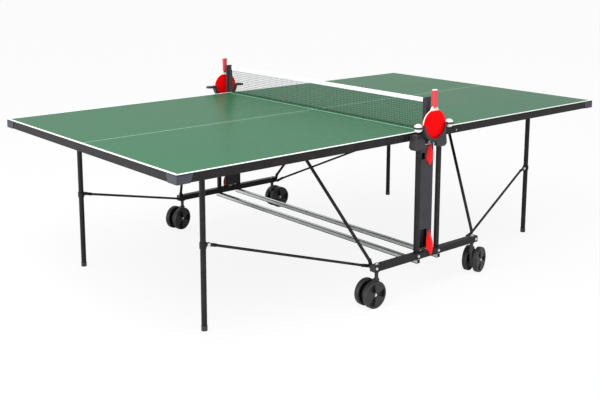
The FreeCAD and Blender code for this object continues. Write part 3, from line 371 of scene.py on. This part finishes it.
def rings_skin(rings):
    """Closed skin over rings[ring, place]: quads between rings and a fan to the middle of each end."""
    count, places = rings.shape[:2]
    ring, place = np.meshgrid(np.arange(count - 1), np.arange(places), indexing="ij")
    after = (place + 1) % places
    low, high = ring * places, (ring + 1) * places
    quads = np.stack([low + place, low + after, high + after, high + place], -1).reshape(-1, 4)
    place, after = np.arange(places), (np.arange(places) + 1) % places
    last = (count - 1) * places
    first_fan = np.stack([np.full(places, count * places), after, place], -1)
    last_fan = np.stack([np.full(places, count * places + 1), last + place, last + after], -1)
    points = np.concatenate([rings.reshape(-1, 3), rings[0].mean(0)[None], rings[-1].mean(0)[None]])
    return points, quads.tolist() + first_fan.tolist() + last_fan.tolist()


def band_skin(rings):
    """Skin over rings that close on themselves both ways, as on a torus."""
    count, places = rings.shape[:2]
    ring, place = np.meshgrid(np.arange(count), np.arange(places), indexing="ij")
    after, nxt = (place + 1) % places, (ring + 1) % count
    quads = [ring * places + place, ring * places + after, nxt * places + after, nxt * places + place]
    return rings.reshape(-1, 3), np.stack(quads, -1).reshape(-1, 4).tolist()


def turned(profile, centre, axis, places=40, swell=None):
    """Profile of (radius, height) turned about an axis: centre + height * axis + radius * (cos, sin).
    swell(angle) multiplies the radius, as the flats of a hexagon do."""
    axis = np.asarray(axis, float)
    side = np.cross(axis, Z if abs(axis[2]) < 0.9 else X)
    side /= np.linalg.norm(side)
    up = np.cross(axis, side)
    angle = np.linspace(0, 2 * np.pi, places, endpoint=False)
    wide = np.ones(places) if swell is None else swell(angle)
    radius, height = np.asarray(profile, float).T
    circle = np.cos(angle)[:, None] * side + np.sin(angle)[:, None] * up
    return (np.asarray(centre) + height[:, None, None] * axis
            + radius[:, None, None] * (wide[:, None] * circle)[None])


def swept(path, profile, side):
    """Rings of a flat profile (across, up) along a path; up is the path's direction crossed with side."""
    ahead = np.gradient(path, axis=0)
    ahead /= np.linalg.norm(ahead, axis=1, keepdims=True)
    side = np.broadcast_to(side, path.shape)
    up = np.cross(ahead, side)
    up /= np.linalg.norm(up, axis=1, keepdims=True)
    return (path[:, None] + profile[None, :, :1] * side[:, None] + profile[None, :, 1:] * up[:, None])


def round_rectangle(half_x, half_y, corner, steps=5):
    """Outline of a rectangle with quarter-circle corners: corner centre + corner * (cos, sin)."""
    angle = np.concatenate([np.linspace(k, k + 1, steps) for k in range(4)]) * np.pi / 2
    signs = np.repeat([(1, 1), (-1, 1), (-1, -1), (1, -1)], steps, axis=0)
    centres = signs * (half_x - corner, half_y - corner)
    return centres + corner * np.stack([np.cos(angle), np.sin(angle)], -1)


def hexagon(angle):
    """Radius of a hexagon over its inner circle's: 1 / cos of the angle from the nearest flat."""
    return 1 / np.cos((angle + np.pi / 6) % (np.pi / 3) - np.pi / 6)


def piece(name, skins, material, body, stands_for=(), crease=40):
    """One mesh of several skins with its faces turned outwards, riding on a body."""
    points, faces, count = [], [], 0
    for skin_points, skin_faces in skins:
        points.append(skin_points)
        faces += [[corner + count for corner in face] for face in skin_faces]
        count += len(skin_points)
    mesh = bpy.data.meshes.new(name)
    mesh.from_pydata(np.concatenate(points).tolist(), [], faces)
    work = bmesh.new()
    work.from_mesh(mesh)
    bmesh.ops.recalc_face_normals(work, faces=work.faces)
    work.to_mesh(mesh)
    work.free()
    return settle(bpy.data.objects.new(name, mesh), material, body, stands_for, crease)


def settle(thing, material, body, stands_for=(), crease=40):
    """Smooth a piece up to its crease angle, give it its finish and let it ride on its body."""
    thing.data.shade_smooth()
    thing.data.set_sharp_from_angle(angle=np.radians(crease))
    thing.data.materials.append(material)
    bpy.context.scene.collection.objects.link(thing)
    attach(thing, body)
    if stands_for:
        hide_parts(*stands_for)
    return thing


def softened(name, node, width, material, body):
    """A CAD node's shape with rounded edges: a merged copy, its flat faces joined, then bevelled."""
    mesh = frame["nodes"][node].data.copy()
    mesh.materials.clear()
    work = bmesh.new()
    work.from_mesh(mesh)
    bmesh.ops.remove_doubles(work, verts=work.verts, dist=0.005 * MM)
    bmesh.ops.dissolve_limit(work, angle_limit=np.radians(1), verts=work.verts, edges=work.edges)
    work.to_mesh(mesh)
    work.free()
    thing = settle(bpy.data.objects.new(name, mesh), material, body, [node], 35)
    bevel = thing.modifiers.new("rounded_edges", "BEVEL")
    bevel.width = width
    bevel.segments = 3
    bevel.limit_method = "ANGLE"
    bevel.angle_limit = np.radians(35)
    bevel.harden_normals = True
    return thing


def bolt(centre, axis, radius, height):
    """Hexagon-head bolt on its washer: a turned disc, then a hexagon whose top edge is chamfered."""
    axis = np.asarray(axis, float)
    washer = turned([(radius * 1.3, 0), (radius * 1.3, height * 0.22), (radius * 1.05, height * 0.25)],
                    centre, axis, 32)
    seat = np.asarray(centre) + axis * height * 0.2
    head = turned([(radius, 0), (radius, height * 0.6), (radius * 0.86, height * 0.8)],
                  seat, axis, 36, hexagon)
    return [rings_skin(washer), rings_skin(head)]


def dome_nut(centre, axis, radius, height):
    """Cap nut: a hexagon with a half-round cap, radius * sqrt(1 - t * t) as it rises by t."""
    axis = np.asarray(axis, float)
    rise = np.linspace(0, 0.98, 8)
    flange = turned([(radius * 1.2, 0), (radius * 1.2, height * 0.12)], centre, axis, 32)
    base = turned([(radius, 0), (radius, height * 0.5), (radius * 0.9, height * 0.55)], centre, axis,
                  36, hexagon)
    cap = np.stack([radius * 0.88 * np.sqrt(1 - rise ** 2), height * (0.5 + 0.5 * rise)], -1)
    return [rings_skin(flange), rings_skin(base), rings_skin(turned(cap, centre, axis, 36))]


# ---------------------------------------------------------------- camera, light and floor

def look():
    """Camera at head height off one corner of the table, looking slightly down."""
    camera = bpy.data.objects.new("camera", bpy.data.cameras.new("camera"))
    azimuth, tilt = -0.6945, 0.1816
    standpoint = (-3.2463, -3.6702, 1.6002)
    back = Vector((np.sin(azimuth) * np.cos(tilt), -np.cos(azimuth) * np.cos(tilt), np.sin(tilt)))
    right = Vector((np.cos(azimuth), np.sin(azimuth), 0))
    turn = Matrix((right, back.cross(right), back)).transposed()
    camera.matrix_world = Matrix.Translation(standpoint) @ turn.to_4x4()
    camera.data.lens = 56.78
    camera.data.shift_x, camera.data.shift_y = 0.0187, -0.1333
    bpy.context.scene.collection.objects.link(camera)
    bpy.context.scene.camera = camera


def studio():
    """White sweep, an even white sky, a broad soft lamp high on the left and a fill at one end."""
    scene = bpy.context.scene
    scene.view_settings.view_transform = "Standard"
    world = bpy.data.worlds.new("studio")
    scene.world = world
    world.use_nodes = True
    sky = world.node_tree
    path = add(sky, "LightPath")
    seen = add(sky, "Math", {0: path.outputs["Is Camera Ray"], 1: path.outputs["Is Transmission Ray"]},
               operation="MAXIMUM")
    bright = add(sky, "MapRange", {"Value": seen.outputs[0], "To Min": 0.86, "To Max": 1.0})
    sky.links.new(bright.outputs[0], sky.nodes["Background"].inputs["Strength"])
    sky.nodes["Background"].inputs["Color"].default_value = (1, 1, 1, 1)

    # an area lamp shines along its own -Z, so its Z is turned to point away from the table
    for name, spot, size, power in (("softbox", (-2.6, -1.6, 4.2), 3.0, 140),
                                    ("end_fill", (-5.5, 0.4, 1.4), 2.0, 90)):
        lamp = bpy.data.objects.new(name, bpy.data.lights.new(name, "AREA"))
        lamp.data.shape, lamp.data.size = "SQUARE", size
        lamp.data.energy = power
        away = Vector(spot) - Vector((0, 0, 0.6))
        lamp.matrix_world = Matrix.Translation(spot) @ away.to_track_quat("Z", "Y").to_matrix().to_4x4()
        scene.collection.objects.link(lamp)

    reach = 40.0
    mesh = bpy.data.meshes.new("floor")
    mesh.from_pydata([(-reach, -reach, 0), (reach, -reach, 0), (reach, reach, 0), (-reach, reach, 0)],
                     [], [(0, 1, 2, 3)])
    floor = bpy.data.objects.new("floor", mesh)
    material = bpy.data.materials.new("paper_sweep")
    material.use_nodes = True
    tree = material.node_tree
    tree.nodes.remove(tree.nodes["Principled BSDF"])
    matt = add(tree, "BsdfDiffuse", {"Color": (0.86, 0.86, 0.86, 1)})
    glow = add(tree, "Emission", {"Color": (1, 1, 1, 1), "Strength": 1.0})
    ray = add(tree, "LightPath")
    white = add(tree, "Math", {0: ray.outputs["Is Camera Ray"], 1: 0.88}, operation="MULTIPLY")
    paper = add(tree, "MixShader", {0: white.outputs[0], 1: matt.outputs[0], 2: glow.outputs[0]})
    tree.links.new(paper.outputs[0], tree.nodes["Material Output"].inputs["Surface"])
    floor.data.materials.append(material)
    scene.collection.objects.link(floor)


# ---------------------------------------------------------------- pieces

def make_wheel(corner, place, outward):
    """Twin-caster wheel turned about its axle: tread, rim lip and hub boss; three wedges of the
    outer face sink 9 mm. The wedge share is 1 within 0.17 of a third of a turn of its middle, else 0,
    with a slope 0.014 wide between them."""
    node = f"caster_wheel_{corner}_{place}"
    axle = np.array(joints[f"wheel_spin_{corner}_{place}"]["axis"], float)
    axle *= outward / np.linalg.norm(axle)
    # radius, height along the axle, share of the recess
    outer = np.array([(5.5, 7.5, 0), (9, 7.5, 0), (10, 11.6, 0), (14, 12.2, 0), (15, 11, 0.05),
                      (15.6, 11, 0.95), (17, 11, 1), (28, 11.2, 1), (40, 11.4, 1), (51, 11.6, 1),
                      (52.6, 11.6, 1), (53.2, 11.6, 0.05), (54.2, 12.9, 0), (57, 13, 0), (60, 12.8, 0),
                      (62.2, 11.6, 0), (63.3, 9.2, 0), (63.5, 5, 0), (63.5, 0, 0)])
    inner = np.array([(63.5, -5, 0), (63.3, -9.2, 0), (62.2, -11.6, 0), (60, -12.8, 0), (55.5, -13, 0),
                      (54, -6, 0), (40, -5, 0), (15, -5, 0), (14, -12.4, 0), (5.5, -12.6, 0)])
    profile = np.concatenate([outer, inner])
    rings = turned(profile[:, :2] * MM, mid(node), axle, 144)
    turn = np.linspace(0, 3, 144, endpoint=False) % 1
    wedge = np.clip((0.17 - np.abs(turn - 0.5)) / 0.014 + 0.5, 0, 1)
    sink = profile[:, 2:] * wedge[None]
    rings = rings - (sink * 9 * MM)[..., None] * axle
    thing = piece("wheel_" + corner + "_" + place, [rings_skin(rings)], WHEEL,
                  f"wheel_{corner}_{place}", [node], 30)
    # painted shade: near black in the sunk wedges, by their share squared, and 0.8 over the hollow back,
    # where little light reaches; the wheel's material reads this attribute
    painted_recess_shade = thing.data.attributes.new("painted_recess_shade", "FLOAT", "POINT")
    hollow = (profile[:, 0] < 54.1) & (profile[:, 1] < -4) & (profile[:, 0] > 14.5)
    shade = np.maximum(sink ** 2, 0.8 * hollow[:, None] * np.ones(144))
    painted_recess_shade.data.foreach_set("value", np.concatenate([shade.ravel(), [0, 0]]))


def make_caster(corner):
    """Caster housing: the outline is the hull of a circle round the axle and one under the stem, the
    furthest point of either circle in each direction; its edges are rounded as they near the faces."""
    body = "caster_" + corner
    stem = np.array(joints["caster_swivel_" + corner]["pos_m"], float)
    axle = np.array(joints[f"wheel_spin_{corner}_outer"]["pos_m"], float)
    trail = axle - stem
    trail[2] = 0
    ahead = trail / np.linalg.norm(trail)
    across = np.cross(Z, ahead)
    reach = np.linalg.norm(trail)
    angle = np.linspace(0, 2 * np.pi, 72, endpoint=False)
    way = np.stack([np.cos(angle), np.sin(angle)], -1)
    wheel_centre, head_centre = np.array([reach, axle[2]]), np.array([0, 117 * MM])
    rings = []
    for offset, shrink in ((-9, 2.5), (-8.2, 0.9), (-6.5, 0), (6.5, 0), (8.2, 0.9), (9, 2.5)):
        wheel_round = wheel_centre + way * (45 - shrink) * MM
        head_round = head_centre + way * (12 - shrink) * MM
        further = ((wheel_round - head_round) * way).sum(1) > 0
        flat = np.where(further[:, None], wheel_round, head_round)
        rings.append(stem * (1, 1, 0) + flat[:, :1] * ahead + flat[:, 1:] * Z + offset * MM * across)
    skins = [rings_skin(np.array(rings))]
    foot = np.array([stem[0], stem[1], 0])
    neck = [(11, 122), (9.2, 127), (8.6, 134), (8.6, 152), (12, 154), (12, 159.4), (8, 159.6)]
    skins.append(rings_skin(turned(np.array(neck) * MM, foot, Z, 32)))
    pin = [(6.5, 158), (6.5, 190)]
    skins.append(rings_skin(turned(np.array(pin) * MM, foot, Z, 24)))
    piece("caster_housing_" + corner, skins, PLASTIC, body, ["caster_yoke_" + corner])
    zinc = dome_nut((stem[0], stem[1], 190.3 * MM), Z, 8 * MM, 8 * MM)
    for way_out in (-1, 1):
        face = axle + across * way_out * 34.4 * MM
        zinc += dome_nut(face, across * way_out, 6.2 * MM, 7 * MM)
    zinc.append(rings_skin(turned([(4.5 * MM, -34 * MM), (4.5 * MM, 34 * MM)], axle, across, 20)))
    piece("caster_nuts_" + corner, zinc, ZINC, body)


def make_lever(name, side, far, lean):
    """Release lever: a leaf between two arcs, domed across by 1 - s * s with a crest along it, and a
    backing leaf that stops short; both lean out from the hinge."""
    node = f"{name}_{side}"
    hinge = np.array(joints[f"{name}_pull_{side}"]["pos_m"], float)
    low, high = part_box(node)
    long = (hinge[2] - low.z) / np.cos(lean) - 2 * MM
    wide = (high.x - low.x) / 2
    round_by = (wide ** 2 + (long / 2) ** 2) / (2 * wide)
    t = np.linspace(0.03, 0.985, 40)
    half = np.sqrt(round_by ** 2 - (long / 2 - long * t ** 1.3) ** 2) - (round_by - wide)
    half = np.maximum(half, (2.5 + 5 * t) * MM)
    s = np.linspace(-1, 1, 17)
    out = np.array([0, far, 0])
    right = np.array([-far, 0, 0])
    down = -Z * np.cos(lean) + out * np.sin(lean)
    face = out * np.cos(lean) + Z * np.sin(lean)

    def leaf(rows, widths, shift, base, crown, crest):
        middle = hinge + rows[:, None] * long * down + shift * right
        dome = crown * (1 - s ** 2) ** 0.6 + crest * np.exp(-((s + 0.25) / 0.12) ** 2)
        ends = np.sin(np.pi * np.clip(rows, 0, 1)) ** 0.25
        top = (middle[:, None] + widths[:, None, None] * s[None, :, None] * right
               + (base + dome[None] * ends[:, None])[..., None] * face)
        under = (middle[:, None] + widths[:, None, None] * s[None, ::-1, None] * right * 0.97
                 + (base - 1.2 * MM) * face)
        return rings_skin(np.concatenate([top, under], axis=1))

    skins = [leaf(t, half, 1.5 * MM, -0.5 * MM, 4.2 * MM, 0.6 * MM)]
    short = t < 0.8
    skins.append(leaf(t[short], half[short] * 0.85, -wide * 0.22, -2.8 * MM, 2.4 * MM, 0))
    barrel = turned([(3.2 * MM, -4 * MM), (4.3 * MM, -3 * MM), (4.3 * MM, 3 * MM), (3.2 * MM, 4 * MM)],
                    hinge, X, 28)
    skins.append(rings_skin(barrel))
    piece(f"{name}_leaf_{side}", skins, RED, node, [node], 30)


def make_bat(side, far):
    """Bat standing blade down: an oval ply with rounded edge, a rubber on each face, and a grip lofted
    through rounded rectangles that waists in and flares at its end."""
    body, y = f"bat_{side}", mid("bat_blade_" + side)[1]
    ply_low, ply_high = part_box("bat_blade_" + side)
    rx, bottom = (ply_high.x - ply_low.x) / 2, ply_low.z
    rz, centre_z = 71 * MM, bottom + 71 * MM
    neck_z, grip_low, top = 884 * MM, 873 * MM, ply_high.z

    def oval(share, shoulder):
        """Blade outline: the oval (rx cos, rz sin) scaled by share; above the shoulder it narrows to
        the neck as a smooth step."""
        angle = np.linspace(-np.pi / 2, 3 * np.pi / 2, 120, endpoint=False)
        flat = np.stack([rx * np.cos(angle), rz * np.sin(angle)], -1) * share
        rise = np.clip((np.sin(angle) - 0.93) / 0.07, 0, 1) if shoulder else np.zeros_like(angle)
        flat[:, 1] += rise ** 0.8 * (neck_z - centre_z - rz)
        at_least = 11 * MM * (rise < 0.98)
        neck = np.sign(flat[:, 0]) * np.maximum(np.abs(flat[:, 0]), at_least)
        flat[:, 0] = np.where(rise > 0, neck, flat[:, 0])
        return flat

    def layered(levels, shoulder):
        rings = []
        for offset, share in levels:
            flat = oval(share, shoulder)
            rings.append(np.stack([flat[:, 0], np.full(len(flat), y + offset * MM),
                                   centre_z + flat[:, 1]], -1))
        return rings_skin(np.array(rings))

    edge = [(-3, 0.985), (-2.6, 0.996), (-1.5, 1.0), (1.5, 1.0), (2.6, 0.996), (3, 0.985)]
    piece("bat_ply_" + side, [layered(edge, True)], WOOD, body, ["bat_blade_" + side])

    rubbers = []
    for face in (-1, 1):
        rings = []
        for offset, share in ((3.02, 0.978), (3.1, 0.985), (4.6, 0.985), (5, 0.975)):
            flat = oval(share, False)
            flat[:, 1] = np.minimum(flat[:, 1], 65 * MM)
            rings.append(np.stack([flat[:, 0], np.full(len(flat), y + face * offset * MM),
                                   centre_z + flat[:, 1]], -1))
        rubbers.append(rings_skin(np.array(rings)))
    piece("bat_rubber_" + side, rubbers, RUBBER, body, ["bat_rubbers_" + side], 50)

    height = np.array([0, 0.02, 0.05, 0.2, 0.45, 0.7, 0.88, 0.96, 0.985, 1.0])
    half_wide = np.array([9.5, 11.5, 12.2, 12.3, 12.0, 12.3, 13.0, 13.5, 13.2, 11.5]) * MM
    half_deep = np.array([5.5, 7.2, 8.6, 9.4, 9.6, 9.5, 9.8, 10.0, 9.6, 8.0]) * MM
    rings = [np.stack([flat[:, 0], y + flat[:, 1], np.full(len(flat), grip_low + z * (top - grip_low))], -1)
             for z, wide, deep in zip(height, half_wide, half_deep)
             for flat in [round_rectangle(wide, deep, min(wide, deep) * 0.75, 7)]]
    piece("bat_grip_" + side, [rings_skin(np.array(rings))], GRIP, body, [], 60)


def make_latch_cover(side, far):
    """Housings of the two latches, closing the panel's slot and window from behind; their near-black colour
    is painted shade for the inside of the post.
    """
    low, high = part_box("post_panel_" + side)
    skins = []
    for bottom, top in ((200, 304), (626, 671)):
        outline = round_rectangle(38 * MM, (top - bottom) / 2 * MM, 3 * MM)
        middle = (low.x + high.x) / 2
        rings = [np.stack([middle + outline[:, 0], np.full(len(outline), far * depth * MM),
                           (top + bottom) / 2 * MM + outline[:, 1]], -1) for depth in (773, 778.4)]
        skins.append(rings_skin(np.array(rings)))
    piece("latch_housings_" + side, skins, PAINTED_SHADE_PLASTIC, "undercarriage")


def make_net():
    """Knotted net: round twines, radius swelling by 80 % at each crossing, exp(-(distance / 1 mm)^2);
    its foot cord is thicker. The tape is one strip folded over the head cord."""
    low, high = (np.array(corner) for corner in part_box("net_mesh"))
    pitch, radius = 10.5 * MM, 0.6 * MM
    foot_z = low[2] + 1.0 * MM
    columns = np.linspace(low[1] + 1 * MM, high[1] - 1 * MM, int((high[1] - low[1]) / pitch) + 1)
    rows = np.linspace(foot_z, high[2] + 4 * MM, int((high[2] - low[2]) / pitch) + 2)
    skins, twists = [], []

    def twine(start, way, length, knots, thick, offset):
        local = np.array([-1.5, 0, 1.5]) * MM
        marks = np.unique(np.clip((knots[:, None] + local[None]).ravel(), 0, length))
        nearest = np.abs(marks[:, None] - knots[None]).min(1)
        size = thick * (1 + 0.8 * np.exp(-(nearest / (1.0 * MM)) ** 2))
        angle = np.linspace(0, 2 * np.pi, 5, endpoint=False)
        side = np.cross(way, X)
        circle = np.cos(angle)[:, None] * X + np.sin(angle)[:, None] * side
        rings = (start + offset * X)[None, None] + marks[:, None, None] * way + size[:, None, None] * circle
        skins.append(rings_skin(rings))
        ends = [[0, marks[0]], [0, marks[-1]]]
        turn, run = np.meshgrid(angle / (2 * np.pi), marks)
        twists.append(np.concatenate([np.stack([turn, run], -1).reshape(-1, 2), ends]))

    for number, y in enumerate(columns):
        twine(np.array([0, y, rows[0]]), Z, rows[-1] - rows[0], rows - rows[0], radius,
              radius * 0.3 * (-1) ** number)
    for z in rows[1:]:
        twine(np.array([0, columns[0], z]), Y, columns[-1] - columns[0], columns - columns[0], radius, 0)
    for lift in (0, 2.6 * MM, 5.2 * MM):
        twine(np.array([0, columns[0], foot_z + lift]), Y, columns[-1] - columns[0],
              columns - columns[0], 0.95 * MM, 0)
    net = piece("net_twine", skins, YARN, "undercarriage", ["net_mesh"], 80)
    lay_flat(net, np.concatenate(twists))

    low, high = (np.array(corner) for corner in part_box("net_tape"))
    length, tall = high[1] - low[1], high[2] - low[2]
    half = (high[0] - low[0]) / 2 - 0.05 * MM
    turn = np.linspace(0, np.pi, 9)
    # down one side, round the head cord and down the other; the hems pinch the net between them
    side_up = np.linspace(0, 1, 8)[:-1]
    spread = half * (0.45 + 0.55 * np.sin(side_up * np.pi / 2) ** 0.5)
    across = np.concatenate([-spread, -half * np.cos(turn), spread[::-1]])
    height = np.concatenate([side_up * (tall - half), tall - half + half * np.sin(turn) * 0.98,
                             side_up[::-1] * (tall - half)])
    run = np.linspace(0, length, 150)
    # between its stitches the tape draws in by 5 %: 1 - 0.05 * sin(run / 30 mm) ** 2
    drawn_in = 1 - 0.05 * np.sin(run / (30 * MM))[:, None] ** 2
    strip = np.stack(np.broadcast_arrays(across[None] * drawn_in, low[1] + run[:, None],
                                         low[2] + height[None]), -1)
    count, places = strip.shape[:2]
    ring, place = np.meshgrid(np.arange(count - 1), np.arange(places - 1), indexing="ij")
    quads = [ring * places + place, ring * places + place + 1, (ring + 1) * places + place + 1,
             (ring + 1) * places + place]
    mesh = bpy.data.meshes.new("net_tape_band")
    mesh.from_pydata(strip.reshape(-1, 3).tolist(), [], np.stack(quads, -1).reshape(-1, 4).tolist())
    tape = settle(bpy.data.objects.new("net_tape_band", mesh), TAPE, "undercarriage",
                  ["net_tape"], 80)
    arc = np.concatenate([[0], np.cumsum(np.hypot(np.diff(across), np.diff(height)))])
    lay_flat(tape, np.stack(np.broadcast_arrays(arc[None], run[:, None]), -1).reshape(-1, 2))


def lay_flat(thing, flat):
    """Write a UV map from one (u, v) per vertex."""
    layer = thing.data.uv_layers.new(name="UVMap")
    corners = np.empty(len(thing.data.loops), int)
    thing.data.loops.foreach_get("vertex_index", corners)
    layer.data.foreach_set("uv", flat[corners].ravel())


def make_holder(side, far):
    """Bat cradle: a rounded strip swept under the blade along the oval (a cos, b sin), a plate behind,
    and a ring for a ball at each end."""
    node = "bat_holder_" + side
    y, a, b, middle_z = far * 815 * MM, 79 * MM, 83 * MM, 803 * MM
    top = np.arcsin((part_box(node)[1].z - 1 * MM - middle_z) / b)
    turn = np.linspace(np.pi - top, 2 * np.pi + top, 60)
    path = np.stack([a * np.cos(turn), np.full(60, y), middle_z + b * np.sin(turn)], -1)
    rim = round_rectangle(12.9 * MM, 2.9 * MM, 1.6 * MM)
    skins = [rings_skin(swept(path, rim, Y))]
    # a groove lip on each long edge keeps the blade in
    for edge in (-1, 1):
        inward = np.stack([np.cos(turn), 0 * turn, np.sin(turn)], -1) * 5.5 * MM
        lip_path = path + edge * 11.6 * MM * Y - inward
        skins.append(rings_skin(swept(lip_path, round_rectangle(1.3 * MM, 6 * MM, 1 * MM), Y)))
    plate_low, plate_high = 706.2 * MM, 729 * MM
    outline = round_rectangle(27.8 * MM, (plate_high - plate_low) / 2, 5 * MM)
    plate = [np.stack([outline[:, 0] * share, np.full(len(outline), far * depth * MM),
                       (plate_low + plate_high) / 2 + outline[:, 1] * share], -1)
             for depth, share in ((793.1, 1), (803, 1), (804.8, 0.95))]
    skins.append(rings_skin(np.array(plate)))
    for _, right in LEFT_RIGHT:
        centre = np.array([right * 106 * MM, y, 792 * MM])
        hoop = np.array([(20.4, -4.5), (20.4, 4.5), (21, 4.5), (23, 4.5), (23.4, 4), (23.4, -4), (23, -4.5),
                         (21, -4.5)]) * MM
        skins.append(band_skin(turned(hoop, centre, Z, 56)))
        arm = np.array([[right * 79.5 * MM, y, 792 * MM], [right * 86 * MM, y, 792 * MM]])
        skins.append(rings_skin(swept(arm, round_rectangle(7 * MM, 4.4 * MM, 1.5 * MM), Y)))
    piece("bat_cradle_" + side, skins, PLASTIC, "undercarriage", [node], 35)
    screws = []
    for _, right in LEFT_RIGHT:
        screws += bolt((right * 18 * MM, far * 804.6 * MM, 716 * MM), (0, far, 0), 3.2 * MM, 2.5 * MM)
    piece("cradle_screws_" + side, screws, ZINC, "undercarriage")


def make_balls():
    """Balls: a half circle turned about the upright, radius * (cos, sin) of the tilt."""
    tilt = np.linspace(-np.pi / 2, np.pi / 2, 34)[1:-1]
    for end, _ in LEFT_RIGHT:
        node = "ball_" + end
        low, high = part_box(node)
        radius = (high.x - low.x) / 2
        profile = radius * np.stack([np.cos(tilt), np.sin(tilt)], -1)
        piece("ball_shell_" + end, [rings_skin(turned(profile, mid(node), Z, 48))], BALL, node,
              [node], 60)


def make_bolts():
    """Zinc bolts: one on each disc of the CAD bolts, along the disc's short side and outwards."""
    skins = []
    for low, high in solids_of("frame_bolts"):
        size, centre = high - low, (low + high) / 2
        thin = int(size.argmin())
        axis = np.eye(3)[thin]
        if thin == 1:
            sign = np.sign(centre[1]) * (1 if abs(centre[1]) > 0.79 else -1)
        else:
            sign = 1 if centre[2] > 0.18 else -1
        start = centre - axis * sign * size[thin] / 2
        skins += bolt(start, axis * sign, np.sort(size)[1] / 2 * 0.82, size[thin] * 1.05)
    piece("frame_bolt_heads", skins, ZINC, "undercarriage", ["frame_bolts"])
    for end, right in LEFT_RIGHT:
        stay_pins, hinge_pins, screws = [], [], []
        for _, far in NEAR_FAR:
            stay_pins += bolt((right * 1.076, far * 543.6 * MM, 0.375), (0, far, 0), 6 * MM, 4.5 * MM)
            hinge_pins += bolt((right * 1.1, far * 554.6 * MM, 0.735), (0, far, 0), 6.5 * MM, 4.5 * MM)
            x = 222 * MM if right == -far else 31 * MM
            screws += dome_nut((right * x, far * 760.7 * MM, 735 * MM), (0, far, 0), 3.2 * MM, 3 * MM)
        piece("stay_bolts_" + end, stay_pins, ZINC, "legs_" + end)
        piece("leg_hinge_bolts_" + end, hinge_pins, ZINC, "legs_" + end)
        piece("rail_screws_" + end, screws, ZINC, "half_" + end)


BALL_Z = mid("ball_left")[2]
look()
studio()

BOARD = painted_board()
FRAME = coated_steel("mild_steel_powder_coated", "#1d1a1b", "#353233", 0.36)
PANEL = coated_steel("sheet_steel_powder_coated", "#3a393e", "#4b4a4f", 0.44)
ZINC = zinc_plate("steel_zinc_plated", False)
BARS = zinc_plate("steel_tube_galvanised", True)
PLASTIC = moulded_plastic("polyamide_black_moulded", "#242326", "#38373b", 0.45)
# painted shade: a near-black copy of the moulded polyamide for the latch housings, so that the panel's slot
# and window look as shaded as the inside of the post
PAINTED_SHADE_PLASTIC = moulded_plastic("polyamide_black_painted_shade", "#070708", "#101011", 0.6)
CAPS = moulded_plastic("polypropylene_slate_moulded", "#30343f", "#3d424e", 0.5)
WHEEL = wheel_plastic()
YARN = net_yarn()
TAPE = woven_tape()
RED = red_lever_plastic()
WOOD = bat_wood()
GRIP = bat_grip()
RUBBER = bat_rubber()
BALL = ball_celluloid()

finish_of = {"playing_board": BOARD, "tie_bars": BARS, "post_panel": PANEL, "corner_caps": CAPS,
             "net_post": PANEL,
             "beam_end_plugs": PLASTIC, "leg_feet": PLASTIC}
for name, thing in frame["nodes"].items():
    chosen = next((finish for start, finish in finish_of.items() if name.startswith(start)), FRAME)
    thing.data.materials.clear()
    thing.data.materials.append(chosen)

for corner in CORNERS:
    make_caster(corner)
    axle_side = Vector(joints[f"wheel_spin_{corner}_outer"]["axis"])
    between = Vector(mid(f"caster_wheel_{corner}_outer") - mid(f"caster_wheel_{corner}_inner"))
    outward = 1 if axle_side.dot(between) > 0 else -1
    make_wheel(corner, "outer", outward)
    make_wheel(corner, "inner", -outward)
for side, far in NEAR_FAR:
    make_lever("upper_lever", side, far, 0.0)
    make_lever("lower_lever", side, far, np.radians(8))
    make_bat(side, far)
    make_holder(side, far)
    make_latch_cover(side, far)
for end, _ in LEFT_RIGHT:
    softened("slider_shell_" + end, "slider_hoods_" + end, 2.2 * MM, PLASTIC, "slider_" + end)
make_net()
make_balls()
make_bolts()
